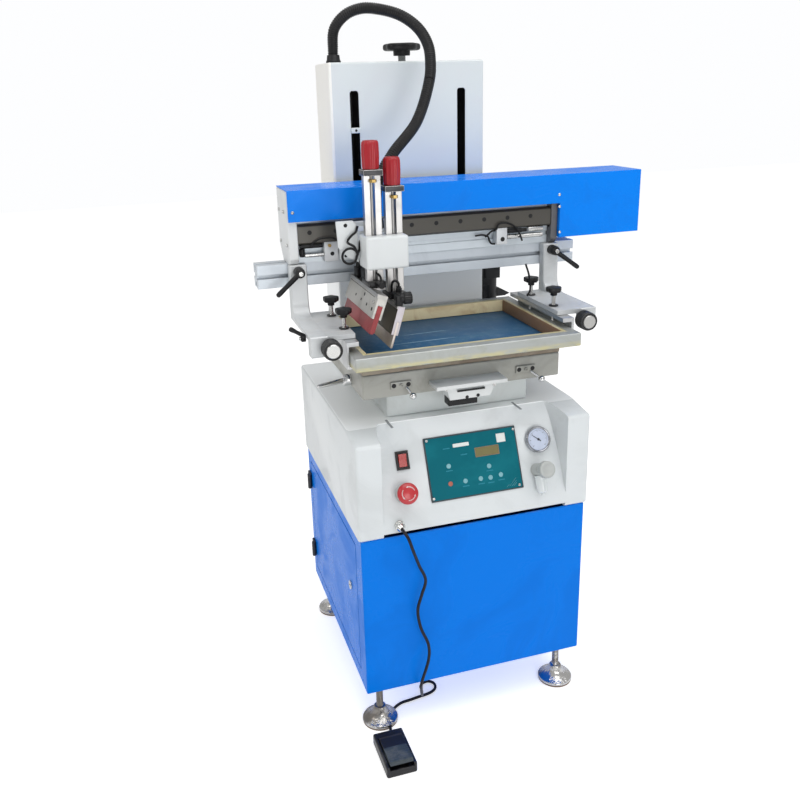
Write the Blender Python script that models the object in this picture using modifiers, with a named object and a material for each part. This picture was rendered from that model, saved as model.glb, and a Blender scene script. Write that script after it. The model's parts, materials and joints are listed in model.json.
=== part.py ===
"""Flat-bed screen printing machine: a sheet-steel cabinet on levelling feet, a moulded deck with its
controls, a print bed, a column, and a print head that lifts on the column and carries the clamped
screen, the squeegee and the flood bar. Metres, +Z up, the front faces -Y, the floor is z = 0.
"""

import math

import bmesh
import bpy
import numpy as np
from mathutils import Matrix, Vector

# Clearances
SEAT = 0.0003
RUN = 0.0003
DOOR_GAP = 0.003

# Cabinet and levelling feet
CABINET_WIDTH = 0.460
CABINET_DEPTH = 0.478
CABINET_HEIGHT = 0.338
CABINET_FLOOR = 0.093
SHEET = 0.002
FOOT_RADIUS = 0.036
FOOT_STEM_RADIUS = 0.007
FOOT_INSET = 0.033
FOOT_BELL = 0.036
NUT_RADIUS = 0.0105
NUT_HEIGHT = 0.010
DOOR_THICKNESS = 0.018
DOOR_FRONT = 0.045
DOOR_WIDTH = 0.403
DOOR_SILL = 0.032
DOOR_HEIGHT = 0.276
LOCK_RADIUS = 0.009
LOCK_FROM_EDGE = 0.050
HINGE_RADIUS = 0.005
HINGE_HEIGHT = 0.036
HINGE_LEAF = 0.020
HINGE_FROM_EDGE = 0.048

# Moulded deck
DECK_OVERHANG = 0.004
DECK_HEIGHT = 0.200
DECK_BROW = 0.010
DECK_ROUND = 0.006
RECESS_WIDTH = 0.372
RECESS_NARROWING = 0.021
SLOPE_RUN = 0.074
SLOPE_RISE_FROM = 0.032
LIP_GAP = 0.009
LIP_GAP_DEPTH = 0.022

# Instruments, as places across and up the slope
CONTROL_PANEL_SIZE = (0.188, 0.121, 0.0025)
CONTROL_PANEL_PLACE = (0.0055, 0.0835)
ROCKER_SIZE = (0.021, 0.031)
ROCKER_PLACE = (-0.1335, 0.110)
ROCKER_RIM = 0.002
ROCKER_WELL_DEPTH = 0.008
ROCKER_PIVOT = 0.0018
STOP_PLACE = (-0.1383, 0.0494)
STOP_RADIUS = 0.020
STOP_TRAVEL = 0.004
STOP_STEM_RADIUS = 0.0085
COLLAR_RADIUS = 0.0185
COLLAR_HEIGHT = 0.012
COLLAR_FLOOR = 0.004
GAUGE_PLACE = (0.1426, 0.1103)
GAUGE_RADIUS = 0.0258
GAUGE_HEIGHT = 0.010
GAUGE_BEZEL = 0.0045
GAUGE_GLASS_DROP = 0.002
REGULATOR_PLACE = (0.132, 0.0525)
REGULATOR_BODY_RADIUS = 0.0125
REGULATOR_BODY_HEIGHT = 0.035
REGULATOR_KNOB_RADIUS = 0.0165
REGULATOR_KNOB_ROUND = 0.003
REGULATOR_HEIGHT = 0.0526
REGULATOR_BOWL_RADIUS = 0.0115
REGULATOR_BOWL_OUT = 0.0130
REGULATOR_BOWL_REACH = 0.0445
GLAND_PLACE = (-0.156, 0.456)
GLAND_RADIUS = 0.0095
GLAND_LENGTH = 0.020

# Print bed
BED_WIDTH = 0.396
BED_FRONT = 0.063
BED_DEPTH = 0.285
BED_BOX_HEIGHT = 0.047
BED_TOP_THICKNESS = 0.008
PEDESTAL_HEIGHT = 0.052
PEDESTAL_SIDE_INSET = 0.053
PEDESTAL_INSET = 0.030
REGISTER_WIDTH = 0.140
REGISTER_REACH = 0.042
REGISTER_LEDGE = 0.007
REGISTER_DROP = 0.0305
REGISTER_BLOCK_HEIGHT = 0.0245
REGISTER_FOOT = (0.0205, 0.0385)
REGISTER_SLOT = (0.002, 0.007)
REGISTER_SLOT_DEPTH = 0.010
BED_HANDLE_FROM_FRONT = 0.087
BED_HANDLE_LENGTH = 0.072

# Column and lift
COLUMN_WIDTH = 0.326
COLUMN_DEPTH = 0.122
COLUMN_SETBACK = 0.013
COLUMN_OVER_SLOT = 0.0537
SLOT_SPACING = 0.227
SLOT_WIDTH = 0.018
SLOT_DEPTH = 0.052
SLOT_SPARE = (0.030, 0.081)
HEAD_TRAVEL = 0.120
SHOE_HEIGHT = 0.090
SHOE_RISE = 0.0227
BRACKET_DEPTH = 0.016
BRACKET_GAP = 0.0055
STAR_RADIUS = 0.040
STAR_X = 0.007
STAR_RISE = 0.022
STAR_HEIGHT = 0.014
STAR_STEM = 0.008
HOSE_RADIUS = 0.011
FILTER_RADIUS = 0.018
FILTER_HEIGHT = 0.088
FILTER_RISE = 0.131

# Print head
BEAM_LENGTH = 0.531
BEAM_DEPTH = 0.083
BEAM_HEIGHT = 0.123
GUIDE_RAIL_RISE = 0.0407
GUIDE_RAIL_HEIGHT = 0.031
GUIDE_RAIL_PROUD = 0.017
END_PLATE_LEFT = 0.018
END_PLATE_RIGHT = 0.0135
COVER_PROUD = 0.010
COVER_RISE = 0.0182
COVER_HEIGHT = 0.0585
MOTOR_BOX_LENGTH = 0.1865
MOTOR_BOX_HEIGHT = 0.1285
MOTOR_BOX_GAP = 0.0015
RAIL_SIZE = 0.045
RAIL_PAST_BEAM = (0.0795, 0.0645)
RAIL_SETBACK = 0.003
RAIL_SLOT = (0.008, 0.012)

# Arms, clamps and screen
PRINT_GAP = 0.0137
SCREEN_WIDTH = 0.440
SCREEN_DEPTH = 0.325
SCREEN_THICKNESS = 0.025
SCREEN_BAR = 0.026
MESH_THICKNESS = 0.0012
MESH_MARGIN = (0.020, 0.006)
CHANNEL_WALL = 0.0045
CHANNEL_LIP = 0.018
CHANNEL_END_MARGINS = (0.040, 0.045)
ARM_GAP = 0.0264
ARM_WIDTH = 0.034
ARM_THICKNESS = 0.020
ARM_HEIGHT = 0.100
ARM_GUSSET = 0.030
SHELF_GAP = 0.020
SHELF_THICKNESS = 0.010
SHELF_SETBACK = 0.062
SHELF_INSET = 0.0015
SHELF_SKIN = 0.0005
CHEEK_BLOCK = (0.020, 0.029)
LEVER_RADIUS = 0.010
LEVER_HUB = 0.024
LEVER_LENGTH = 0.062
CLAMP_KNOB_RADIUS = 0.016
CLAMP_STEM_RADIUS = 0.004
CLAMP_HOLE_RADIUS = 0.005
CLAMP_INSET = 0.007
CLAMP_KNOBS_FROM_FRONT = (0.040, 0.140)
CLAMP_KNOB_RISE = 0.028
DIAL_RADIUS = 0.018
DIAL_LENGTH = 0.036
DIAL_DROP = 0.009

# Carriage, squeegee and flood bar
CARRIAGE_X = -0.1265
CARRIAGE_PLATE = (0.120, 0.015, 0.072)
CARRIAGE_PLATE_DROP = 0.036
CARRIAGE_BLOCK = (0.076, 0.050)
CARRIAGE_BLOCK_RISE = 0.013
CARRIAGE_COVER = (0.080, 0.056, 0.060)
CARRIAGE_COVER_DROP = 0.001
UNIT_REACH = 0.103
UNIT_SPACING = 0.039
UNIT_BAR = (0.011, 0.014)
UNIT_GAP = 0.009
UNIT_FLANGE = (0.035, 0.032, 0.010)
UNIT_FLANGE_RISE = 0.136
UNIT_STROKE = 0.030
KNOB_RADIUS = 0.0165
KNOB_HEIGHT = 0.050
UNIT_FOOT_REACH = (0.020, 0.030)
UNIT_FOOT_HEIGHT = 0.012
UNIT_FOOT_SINK = 0.003
HOLDER_DEPTH = 0.191
HOLDER_REAR_GAP = 0.009
HOLDER_CAP = (0.002, 0.006)
BLADE_LENGTH = 0.190
BLADE_PAST_HOLDER = 0.001
BLADE_GRIP = 0.025
SQUEEGEE = {"top": 0.098, "shift": -0.0057, "tilt": 20.0, "holder": (0.018, 0.045), "blade": (0.009, 0.028)}
FLOOD_BAR = {"top": 0.0745, "shift": -0.011, "tilt": 17.0, "holder": (0.013, 0.054), "blade": (0.004, 0.0245)}

# Pedal
PEDAL_SIZE = (0.060, 0.098, 0.022)
PEDAL_PLACE = (-0.200, -0.076)
PEDAL_WALL = 0.006
PEDAL_FLOOR = 0.007
TREADLE_PIN_RADIUS = 0.003
TREADLE_FROM_REAR = 0.024
TREADLE_SIDE_GAP = 0.0015
CORD_RADIUS = 0.0030

# Places that follow from the sizes above
HALF = CABINET_WIDTH / 2
DOOR_REAR = DOOR_FRONT + DOOR_WIDTH
CABINET_TOP = CABINET_FLOOR + CABINET_HEIGHT
DECK_BOTTOM = CABINET_TOP + SEAT
DECK_TOP = CABINET_TOP + DECK_HEIGHT
DECK_FRONT = -DECK_OVERHANG
DECK_REAR = CABINET_DEPTH + DECK_OVERHANG
SLOPE_FOOT = (DECK_FRONT, CABINET_TOP + SLOPE_RISE_FROM)
SLOPE_HEAD = (DECK_FRONT + SLOPE_RUN, DECK_TOP)
SLOPE_ANGLE = math.atan2(SLOPE_HEAD[1] - SLOPE_FOOT[1], SLOPE_RUN)
BED_REAR = BED_FRONT + BED_DEPTH
BED_UNDERSIDE = DECK_TOP + PEDESTAL_HEIGHT
BED_BOX_TOP = BED_UNDERSIDE + BED_BOX_HEIGHT
BED_TOP = BED_BOX_TOP + SEAT + BED_TOP_THICKNESS
SCREEN_UNDERSIDE = BED_TOP + PRINT_GAP
SCREEN_TOP = SCREEN_UNDERSIDE + SCREEN_THICKNESS
SHELF_BOTTOM = SCREEN_TOP + SHELF_GAP
SHELF_TOP = SHELF_BOTTOM + SHELF_THICKNESS
RAIL_TOP = SHELF_TOP + ARM_HEIGHT
RAIL_BOTTOM = RAIL_TOP - RAIL_SIZE
RAIL_MIDDLE = (RAIL_TOP + RAIL_BOTTOM) / 2
BEAM_UNDERSIDE = RAIL_TOP + SEAT
BEAM_TOP = BEAM_UNDERSIDE + BEAM_HEIGHT
GUIDE_RAIL_LOW = BEAM_UNDERSIDE + GUIDE_RAIL_RISE
GUIDE_RAIL_HIGH = GUIDE_RAIL_LOW + GUIDE_RAIL_HEIGHT
COVER_TOP = BEAM_TOP + COVER_RISE
SHOE_LOW = BEAM_UNDERSIDE + SHOE_RISE
SLOT_BOTTOM = SHOE_LOW - SLOT_SPARE[0]
SLOT_TOP = SHOE_LOW + SHOE_HEIGHT + HEAD_TRAVEL + SLOT_SPARE[1]
COLUMN_TOP = SLOT_TOP + COLUMN_OVER_SLOT
COLUMN_FRONT = BED_REAR + COLUMN_SETBACK
COLUMN_MIDDLE = COLUMN_FRONT + COLUMN_DEPTH / 2
SHOE_X = SLOT_SPACING / 2
BEAM_REAR = COLUMN_FRONT - BRACKET_DEPTH
BEAM_FRONT = BEAM_REAR - BEAM_DEPTH
GUIDE_RAIL_FRONT = BEAM_FRONT - GUIDE_RAIL_PROUD
COVER_FRONT = GUIDE_RAIL_FRONT - COVER_PROUD
COVER_LEFT = -BEAM_LENGTH / 2 - END_PLATE_LEFT
MOTOR_BOX_LEFT = BEAM_LENGTH / 2 + END_PLATE_RIGHT + MOTOR_BOX_GAP
COVER_RIGHT = MOTOR_BOX_LEFT + MOTOR_BOX_LENGTH
RAIL_LEFT = -BEAM_LENGTH / 2 - RAIL_PAST_BEAM[0]
RAIL_RIGHT = BEAM_LENGTH / 2 + RAIL_PAST_BEAM[1]
RAIL_FRONT = BEAM_FRONT + RAIL_SETBACK
ARM_REAR = RAIL_FRONT - SEAT
ARM_FRONT = ARM_REAR - ARM_THICKNESS
ARM_TOP = RAIL_TOP - RUN
CHANNEL_OUTER = SCREEN_WIDTH / 2 + 2 * RUN + CHANNEL_WALL
ARM_INNER = CHANNEL_OUTER + ARM_GAP
CLAMP_KNOB_X = SCREEN_WIDTH / 2 - CLAMP_INSET
SCREEN_REAR = BEAM_REAR
SCREEN_FRONT = SCREEN_REAR - SCREEN_DEPTH
SHELF_FRONT = SCREEN_FRONT + SHELF_SETBACK
CLAMP_KNOB_FRONT = SHELF_FRONT + CLAMP_KNOBS_FROM_FRONT[0]
CLAMP_KNOB_REAR = SHELF_FRONT + CLAMP_KNOBS_FROM_FRONT[1]
DIAL_Y = SHELF_FRONT - SEAT
DIAL_Z = SHELF_BOTTOM - DIAL_DROP
LEVER_Z = RAIL_MIDDLE + 0.010
CARRIAGE_PLATE_REAR = GUIDE_RAIL_FRONT - SEAT
CARRIAGE_PLATE_UNDERSIDE = GUIDE_RAIL_LOW - CARRIAGE_PLATE_DROP
BLOCK_UNDERSIDE = CARRIAGE_PLATE_UNDERSIDE + CARRIAGE_BLOCK_RISE
BLOCK_TOP = BLOCK_UNDERSIDE + CARRIAGE_BLOCK[1]
COVER_BOX_UNDERSIDE = CARRIAGE_PLATE_UNDERSIDE - CARRIAGE_COVER_DROP
UNIT_Y = GUIDE_RAIL_FRONT - UNIT_REACH
UNIT_FLANGE_Z = CARRIAGE_PLATE_UNDERSIDE + UNIT_FLANGE_RISE
HOLDER_REAR = RAIL_FRONT - HOLDER_REAR_GAP
HOLDER_FRONT = HOLDER_REAR - HOLDER_DEPTH
BLADE_FRONT = HOLDER_FRONT - BLADE_PAST_HOLDER
HOSE_END = (CARRIAGE_X + 0.004, GUIDE_RAIL_FRONT - 0.050, BLOCK_TOP + 2 * SEAT)
TREADLE_AXIS = (PEDAL_PLACE[1] + PEDAL_SIZE[1] / 2 - TREADLE_FROM_REAR, 0.0165)
ORIGIN_X = (RAIL_LEFT + COVER_RIGHT) / 2

for old in list(bpy.data.objects):
    bpy.data.objects.remove(old, do_unlink=True)

machine = bpy.data.collections.new("screen_printing_machine")
cutters = bpy.data.collections.new("cutters")
bpy.context.scene.collection.children.link(machine)
bpy.context.scene.collection.children.link(cutters)
cutters.hide_render = True


def paint(name, colour, roughness, metallic=0.0):
    """A Principled material of one colour."""
    material = bpy.data.materials.new(name)
    material.use_nodes = True
    shader = material.node_tree.nodes["Principled BSDF"]
    shader.inputs["Base Color"].default_value = (*colour, 1.0)
    shader.inputs["Roughness"].default_value = roughness
    shader.inputs["Metallic"].default_value = metallic
    return material


BLUE = paint("blue_powder_coat", (0.0, 0.22, 0.83), 0.42)
WHITE = paint("white_paint", (0.80, 0.80, 0.78), 0.45)
CAST = paint("pale_cast_aluminium", (0.62, 0.64, 0.66), 0.45, 0.5)
ALUMINIUM = paint("aluminium", (0.66, 0.67, 0.69), 0.38, 1.0)
STEEL = paint("stainless_steel", (0.62, 0.60, 0.57), 0.28, 1.0)
CHROME = paint("chrome", (0.75, 0.75, 0.76), 0.12, 1.0)
DARK_STEEL = paint("dark_plate", (0.16, 0.16, 0.17), 0.45, 0.6)
BLACK = paint("black_plastic", (0.02, 0.02, 0.022), 0.45)
RUBBER = paint("black_rubber", (0.015, 0.015, 0.016), 0.7)
RED = paint("red_plastic", (0.55, 0.02, 0.03), 0.35)
URETHANE = paint("red_urethane", (0.42, 0.05, 0.06), 0.5)
TEAL = paint("teal_overlay", (0.01, 0.17, 0.24), 0.4)
MESH_BLUE = paint("blue_screen_mesh", (0.02, 0.12, 0.27), 0.5)
GREY = paint("pale_grey_plastic", (0.55, 0.55, 0.53), 0.45)
BED_PLATE = paint("worn_bed_plate", (0.33, 0.30, 0.24), 0.4, 0.7)

joints = {}


def pivot(name, parent=None, at=(0.0, 0.0, 0.0), turn=0.0):
    """An empty on a joint's axis, or on a sloped seat, that carries the pieces of one body."""
    empty = bpy.data.objects.new(name + "_axis", None)
    empty.empty_display_size = 0.03
    machine.objects.link(empty)
    place = Matrix.Translation(Vector(at)) @ Matrix.Rotation(turn, 4, "X")
    if parent:
        empty.parent = joints[parent][0]
        empty.matrix_basis = joints[parent][1].inverted() @ place
    else:
        empty.matrix_basis = place
    joints[name] = (empty, place)


def add(piece, material, carrier):
    """Gives a finished piece its colour and its carrier; it keeps the place it was made at."""
    empty, place = joints[carrier]
    piece.data.materials.clear()
    piece.data.materials.append(material)
    piece.data.shade_smooth()
    piece.data.set_sharp_from_angle(angle=math.radians(35))
    here = piece.matrix_basis.copy()
    piece.parent = empty
    piece.matrix_basis = place.inverted() @ here
    return piece


def mesh_piece(name, shape, at=(0.0, 0.0, 0.0)):
    """A new object from a bmesh, with its origin at a place."""
    mesh = bpy.data.meshes.new(name)
    shape.to_mesh(mesh)
    shape.free()
    piece = bpy.data.objects.new(name, mesh)
    piece.location = at
    machine.objects.link(piece)
    return piece


def box(name, x, y, z):
    """A block between two values on each axis, with its origin in its middle."""
    low, high = Vector((x[0], y[0], z[0])), Vector((x[1], y[1], z[1]))
    shape = bmesh.new()
    bmesh.ops.create_cube(shape, size=1.0)
    bmesh.ops.scale(shape, vec=high - low, verts=shape.verts)
    return mesh_piece(name, shape, (low + high) / 2)


def rod(name, start, end, radius, end_radius=None, sides=24):
    """A round bar, or a cone, from one point to another."""
    start, end = Vector(start), Vector(end)
    shape = bmesh.new()
    bmesh.ops.create_cone(
        shape,
        cap_ends=True,
        segments=sides,
        radius1=radius,
        radius2=radius if end_radius is None else end_radius,
        depth=(end - start).length,
    )
    turn = (end - start).to_track_quat("Z", "Y").to_matrix()
    bmesh.ops.rotate(shape, matrix=turn, verts=shape.verts)
    return mesh_piece(name, shape, (start + end) / 2)


def turned(name, profile, at=(0.0, 0.0, 0.0), along=(0.0, 0.0, 1.0), sides=24):
    """A profile of (radius, height) pairs, top to bottom, spun about an axis through a place."""
    shape = bmesh.new()
    points = [shape.verts.new((radius, 0.0, height)) for radius, height in profile]
    for upper, lower in zip(points, points[1:]):
        shape.edges.new((upper, lower))
    piece = mesh_piece(name, shape, at)
    spin = piece.modifiers.new("spin", "SCREW")
    spin.steps = sides
    spin.render_steps = sides
    spin.use_merge_vertices = True
    spin.merge_threshold = 0.00005
    piece.rotation_mode = "QUATERNION"
    piece.rotation_quaternion = Vector(along).to_track_quat("Z", "Y")
    bpy.context.view_layer.update()
    return piece


def slab(name, outline, axis, low, high):
    """A flat outline made solid between two values on an axis. The outline's pairs are (y, z) for
    axis X, (x, z) for axis Y and (x, y) for axis Z."""
    curve = bpy.data.curves.new(name, "CURVE")
    curve.dimensions = "2D"
    curve.fill_mode = "BOTH"
    curve.extrude = (high - low) / 2
    spline = curve.splines.new("POLY")
    spline.points.add(len(outline) - 1)
    for point, (across, up) in zip(spline.points, outline):
        point.co = (across, up, 0.0, 1.0)
    spline.use_cyclic_u = True
    guide = bpy.data.objects.new(name + "_outline", curve)
    machine.objects.link(guide)
    bpy.context.view_layer.update()
    graph = bpy.context.evaluated_depsgraph_get()
    mesh = bpy.data.meshes.new_from_object(guide.evaluated_get(graph))
    bpy.data.objects.remove(guide, do_unlink=True)
    shape = bmesh.new()
    shape.from_mesh(mesh)
    bpy.data.meshes.remove(mesh)
    bmesh.ops.remove_doubles(shape, verts=shape.verts, dist=0.000001)
    columns = {"X": ((0, 0, 1), (1, 0, 0), (0, 1, 0)), "Y": ((1, 0, 0), (0, 0, -1), (0, 1, 0))}
    if axis in columns:
        bmesh.ops.transform(shape, matrix=Matrix(columns[axis]).to_4x4(), verts=shape.verts)
    bmesh.ops.recalc_face_normals(shape, faces=shape.faces)
    middle = [(low + high) / 2 if axis == letter else 0.0 for letter in "XYZ"]
    return mesh_piece(name, shape, middle)


def tube(name, route, radius, sides_from=2):
    """A cord or hose: a round tube along a smooth route of points."""
    curve = bpy.data.curves.new(name, "CURVE")
    curve.dimensions = "3D"
    curve.bevel_depth = radius
    curve.bevel_resolution = sides_from
    curve.use_fill_caps = True
    spline = curve.splines.new("POLY")
    spline.points.add(len(route) - 1)
    for point, place in zip(spline.points, route):
        point.co = (*place, 1.0)
    piece = bpy.data.objects.new(name, curve)
    machine.objects.link(piece)
    return piece


def smooth_route(points, spacing):
    """Points at an even spacing along a centripetal Catmull-Rom curve through the given ones."""
    points = np.array(points, float)
    ends = np.vstack([2 * points[0] - points[1], points, 2 * points[-1] - points[-2]])
    pieces = []
    for p0, p1, p2, p3 in zip(ends, ends[1:], ends[2:], ends[3:]):
        knots = np.cumsum([0] + [math.sqrt(np.linalg.norm(b - a)) for a, b in ((p0, p1), (p1, p2), (p2, p3))])
        t = np.linspace(knots[1], knots[2], 24, endpoint=False)[:, None]
        a1 = (knots[1] - t) / (knots[1] - knots[0]) * p0 + (t - knots[0]) / (knots[1] - knots[0]) * p1
        a2 = (knots[2] - t) / (knots[2] - knots[1]) * p1 + (t - knots[1]) / (knots[2] - knots[1]) * p2
        a3 = (knots[3] - t) / (knots[3] - knots[2]) * p2 + (t - knots[2]) / (knots[3] - knots[2]) * p3
        b1 = (knots[2] - t) / (knots[2] - knots[0]) * a1 + (t - knots[0]) / (knots[2] - knots[0]) * a2
        b2 = (knots[3] - t) / (knots[3] - knots[1]) * a2 + (t - knots[1]) / (knots[3] - knots[1]) * a3
        pieces.append((knots[2] - t) / (knots[2] - knots[1]) * b1 + (t - knots[1]) / (knots[2] - knots[1]) * b2)
    fine = np.vstack(pieces + [points[-1:]])
    run = np.concatenate([[0], np.cumsum(np.linalg.norm(np.diff(fine, axis=0), axis=1))])
    steps = np.linspace(0, run[-1], max(2, round(run[-1] / spacing) + 1))
    return np.stack([np.interp(steps, run, fine[:, axis]) for axis in range(3)], axis=1)


def combine(piece, tool, operation):
    """A Boolean with a helper, which moves to the cutters and rides on the piece."""
    here = piece.matrix_basis.inverted() @ tool.matrix_basis
    tool.parent = piece
    tool.matrix_basis = here
    change = piece.modifiers.new(operation.lower(), "BOOLEAN")
    change.operation = operation
    change.object = tool
    machine.objects.unlink(tool)
    cutters.objects.link(tool)
    tool.hide_render = True
    tool.display_type = "WIRE"
    return piece


def cut(piece, *tools):
    for tool in tools:
        combine(piece, tool, "DIFFERENCE")
    return piece


def fuse(piece, *tools):
    for tool in tools:
        combine(piece, tool, "UNION")
    return piece


def soften(piece, width, segments=2, angle=40):
    """Rounds the sharp edges."""
    bevel = piece.modifiers.new("rounded_edges", "BEVEL")
    bevel.width = width
    bevel.segments = segments
    bevel.limit_method = "ANGLE"
    bevel.angle_limit = math.radians(angle)
    return piece


def around(left, right):
    """The two sides of a mirrored pair, each as (-1 or 1, its name)."""
    return ((-1, left), (1, right))


def star_outline(radius, lobes=5, depth=0.16, steps=50):
    """A hand knob's outline: a circle whose radius swells once for each lobe."""
    turns = [2 * math.pi * step / steps for step in range(steps)]
    sizes = [radius * (1 - depth / 2 + depth / 2 * math.cos(lobes * turn)) for turn in turns]
    return [(size * math.cos(turn), size * math.sin(turn)) for size, turn in zip(sizes, turns)]


def star_knob(name, x, y, z, radius, height, stem_radius, stem_bottom):
    """A lobed hand knob on its threaded stem, z being the underside of the lobes."""
    knob = slab(name, star_outline(radius), "Z", z, z + height)
    knob.location.x += x
    knob.location.y += y
    soften(knob, height * 0.18, 1)
    neck = rod(name + "_neck", (x, y, z - height * 0.7), (x, y, z + height / 2), radius * 0.42, sides=16)
    stem = rod(name + "_stem", (x, y, stem_bottom), (x, y, z - height * 0.3), stem_radius, sides=12)
    return fuse(knob, neck, stem)


# The bodies, each with its empty on its joint's axis
pivot("machine")
pivot("slope", "machine", (0.0, *SLOPE_FOOT), SLOPE_ANGLE)


def on_slope(across, up, out=0.0):
    """The world place of a point across, up and out from the sloped control face."""
    return joints["slope"][1] @ Vector((across, up, out))


SLOPE_OUT = joints["slope"][1].to_3x3() @ Vector((0, 0, 1))
KNOB_RIM = REGULATOR_PLACE[1] - REGULATOR_KNOB_RADIUS + REGULATOR_KNOB_ROUND
FRONTMOST = on_slope(0.0, KNOB_RIM, SEAT + REGULATOR_HEIGHT).y
ORIGIN_Y = (FRONTMOST + COLUMN_FRONT + COLUMN_DEPTH) / 2
DOOR_AXIS = (-HALF - HINGE_RADIUS - 0.0005, DOOR_REAR + 0.0015, CABINET_FLOOR + DOOR_SILL + DOOR_HEIGHT / 2)
pivot("door", "machine", DOOR_AXIS)
pivot("rocker", "machine", on_slope(*ROCKER_PLACE, ROCKER_PIVOT), SLOPE_ANGLE)
pivot("stop_button", "machine", on_slope(*STOP_PLACE), SLOPE_ANGLE)
pivot("regulator_knob", "machine", on_slope(*REGULATOR_PLACE))
pivot("column_knob", "machine", (STAR_X, COLUMN_MIDDLE, COLUMN_TOP))
pivot("head", "machine", (0.0, BEAM_REAR, BEAM_UNDERSIDE))
pivot("carriage", "head", (CARRIAGE_X, CARRIAGE_PLATE_REAR, CARRIAGE_PLATE_UNDERSIDE))
pivot("squeegee", "carriage", (CARRIAGE_X - UNIT_SPACING / 2, UNIT_Y, UNIT_FLANGE_Z))
pivot("flood", "carriage", (CARRIAGE_X + UNIT_SPACING / 2, UNIT_Y, UNIT_FLANGE_Z))
for side, label in around("left", "right"):
    arm_middle = side * (ARM_INNER + ARM_WIDTH / 2)
    pivot("lever_" + label, "head", (arm_middle, ARM_FRONT, LEVER_Z))
    pivot("dial_" + label, "head", (side * ARM_INNER, DIAL_Y, DIAL_Z))
    pivot("front_knob_" + label, "head", (side * CLAMP_KNOB_X, CLAMP_KNOB_FRONT, SHELF_TOP))
    pivot("rear_knob_" + label, "head", (side * CLAMP_KNOB_X, CLAMP_KNOB_REAR, SHELF_TOP))
pivot("treadle", "machine", (PEDAL_PLACE[0], *TREADLE_AXIS))


def seated(piece, place, out=SEAT):
    """Lays a piece made flat at the origin on the slope, at a place and a height above it."""
    made = piece.matrix_basis.copy()
    piece.matrix_basis = Matrix.Translation(on_slope(*place, out)) @ Matrix.Rotation(SLOPE_ANGLE, 4, "X") @ made
    return piece


def levelling_feet():
    """Four turned feet: a bell-shaped pad, a threaded stem and a lock nut under the cabinet."""
    top = CABINET_FLOOR - SEAT
    profile = [
        (0.0, top),
        (FOOT_STEM_RADIUS, top),
        (FOOT_STEM_RADIUS, FOOT_BELL),
        (FOOT_RADIUS * 0.36, FOOT_BELL * 0.83),
        (FOOT_RADIUS * 0.50, FOOT_BELL * 0.56),
        (FOOT_RADIUS * 0.92, FOOT_BELL * 0.31),
        (FOOT_RADIUS, FOOT_BELL * 0.20),
        (FOOT_RADIUS, 0.001),
        (FOOT_RADIUS - 0.001, 0.0),
        (0.0, 0.0),
    ]
    rows = (("front", FOOT_INSET), ("rear", CABINET_DEPTH - FOOT_INSET))
    for row, y in rows:
        for side, label in around("left", "right"):
            x = side * (HALF - FOOT_INSET)
            foot = turned(f"foot_{row}_{label}", profile, (x, y, 0.0))
            nut = rod("lock_nut", (x, y, top - NUT_HEIGHT - RUN), (x, y, top - RUN), NUT_RADIUS, sides=6)
            add(fuse(foot, nut), STEEL, "machine")


def cabinet():
    """A folded sheet box, open above under the deck, with a door opening in its left side."""
    shell = box("cabinet_shell", (-HALF, HALF), (0.0, CABINET_DEPTH), (CABINET_FLOOR, CABINET_TOP))
    soften(shell, 0.002, 1)
    inside = box(
        "cabinet_inside",
        (-HALF + SHEET, HALF - SHEET),
        (SHEET, CABINET_DEPTH - SHEET),
        (CABINET_FLOOR + SHEET, CABINET_TOP + 0.02),
    )
    sill = CABINET_FLOOR + DOOR_SILL
    opening = box(
        "door_opening",
        (-HALF - 0.01, -HALF + DOOR_THICKNESS + 0.005),
        (DOOR_FRONT - DOOR_GAP, DOOR_REAR + DOOR_GAP),
        (sill - DOOR_GAP, sill + DOOR_HEIGHT + DOOR_GAP),
    )
    add(cut(shell, inside, opening), BLUE, "machine")
    door = box("cabinet_door", (-HALF, -HALF + DOOR_THICKNESS), (DOOR_FRONT, DOOR_REAR), (sill, sill + DOOR_HEIGHT))
    tray = box(
        "door_tray",
        (-HALF + SHEET, -HALF + DOOR_THICKNESS + 0.01),
        (DOOR_FRONT + SHEET, DOOR_REAR - SHEET),
        (sill + SHEET, sill + DOOR_HEIGHT - SHEET),
    )
    add(cut(door, tray), BLUE, "door")
    lock = rod(
        "door_lock",
        (-HALF - 0.003, DOOR_FRONT + LOCK_FROM_EDGE, sill + DOOR_HEIGHT * 0.58),
        (-HALF - SEAT, DOOR_FRONT + LOCK_FROM_EDGE, sill + DOOR_HEIGHT * 0.58),
        LOCK_RADIUS,
    )
    add(lock, CHROME, "door")
    for z, label in ((sill + HINGE_FROM_EDGE, "lower"), (sill + DOOR_HEIGHT - HINGE_FROM_EDGE, "upper")):
        x, y = DOOR_AXIS[:2]
        half_tall = HINGE_HEIGHT / 2
        barrel = rod("door_hinge_" + label, (x, y, z - half_tall), (x, y, z + half_tall), HINGE_RADIUS, sides=16)
        leaf = box(
            "hinge_leaf",
            (-HALF - HINGE_RADIUS, -HALF - SEAT),
            (y + HINGE_RADIUS * 0.6, y + HINGE_LEAF),
            (z - half_tall, z + half_tall),
        )
        add(fuse(barrel, leaf), BLACK, "machine")


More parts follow.
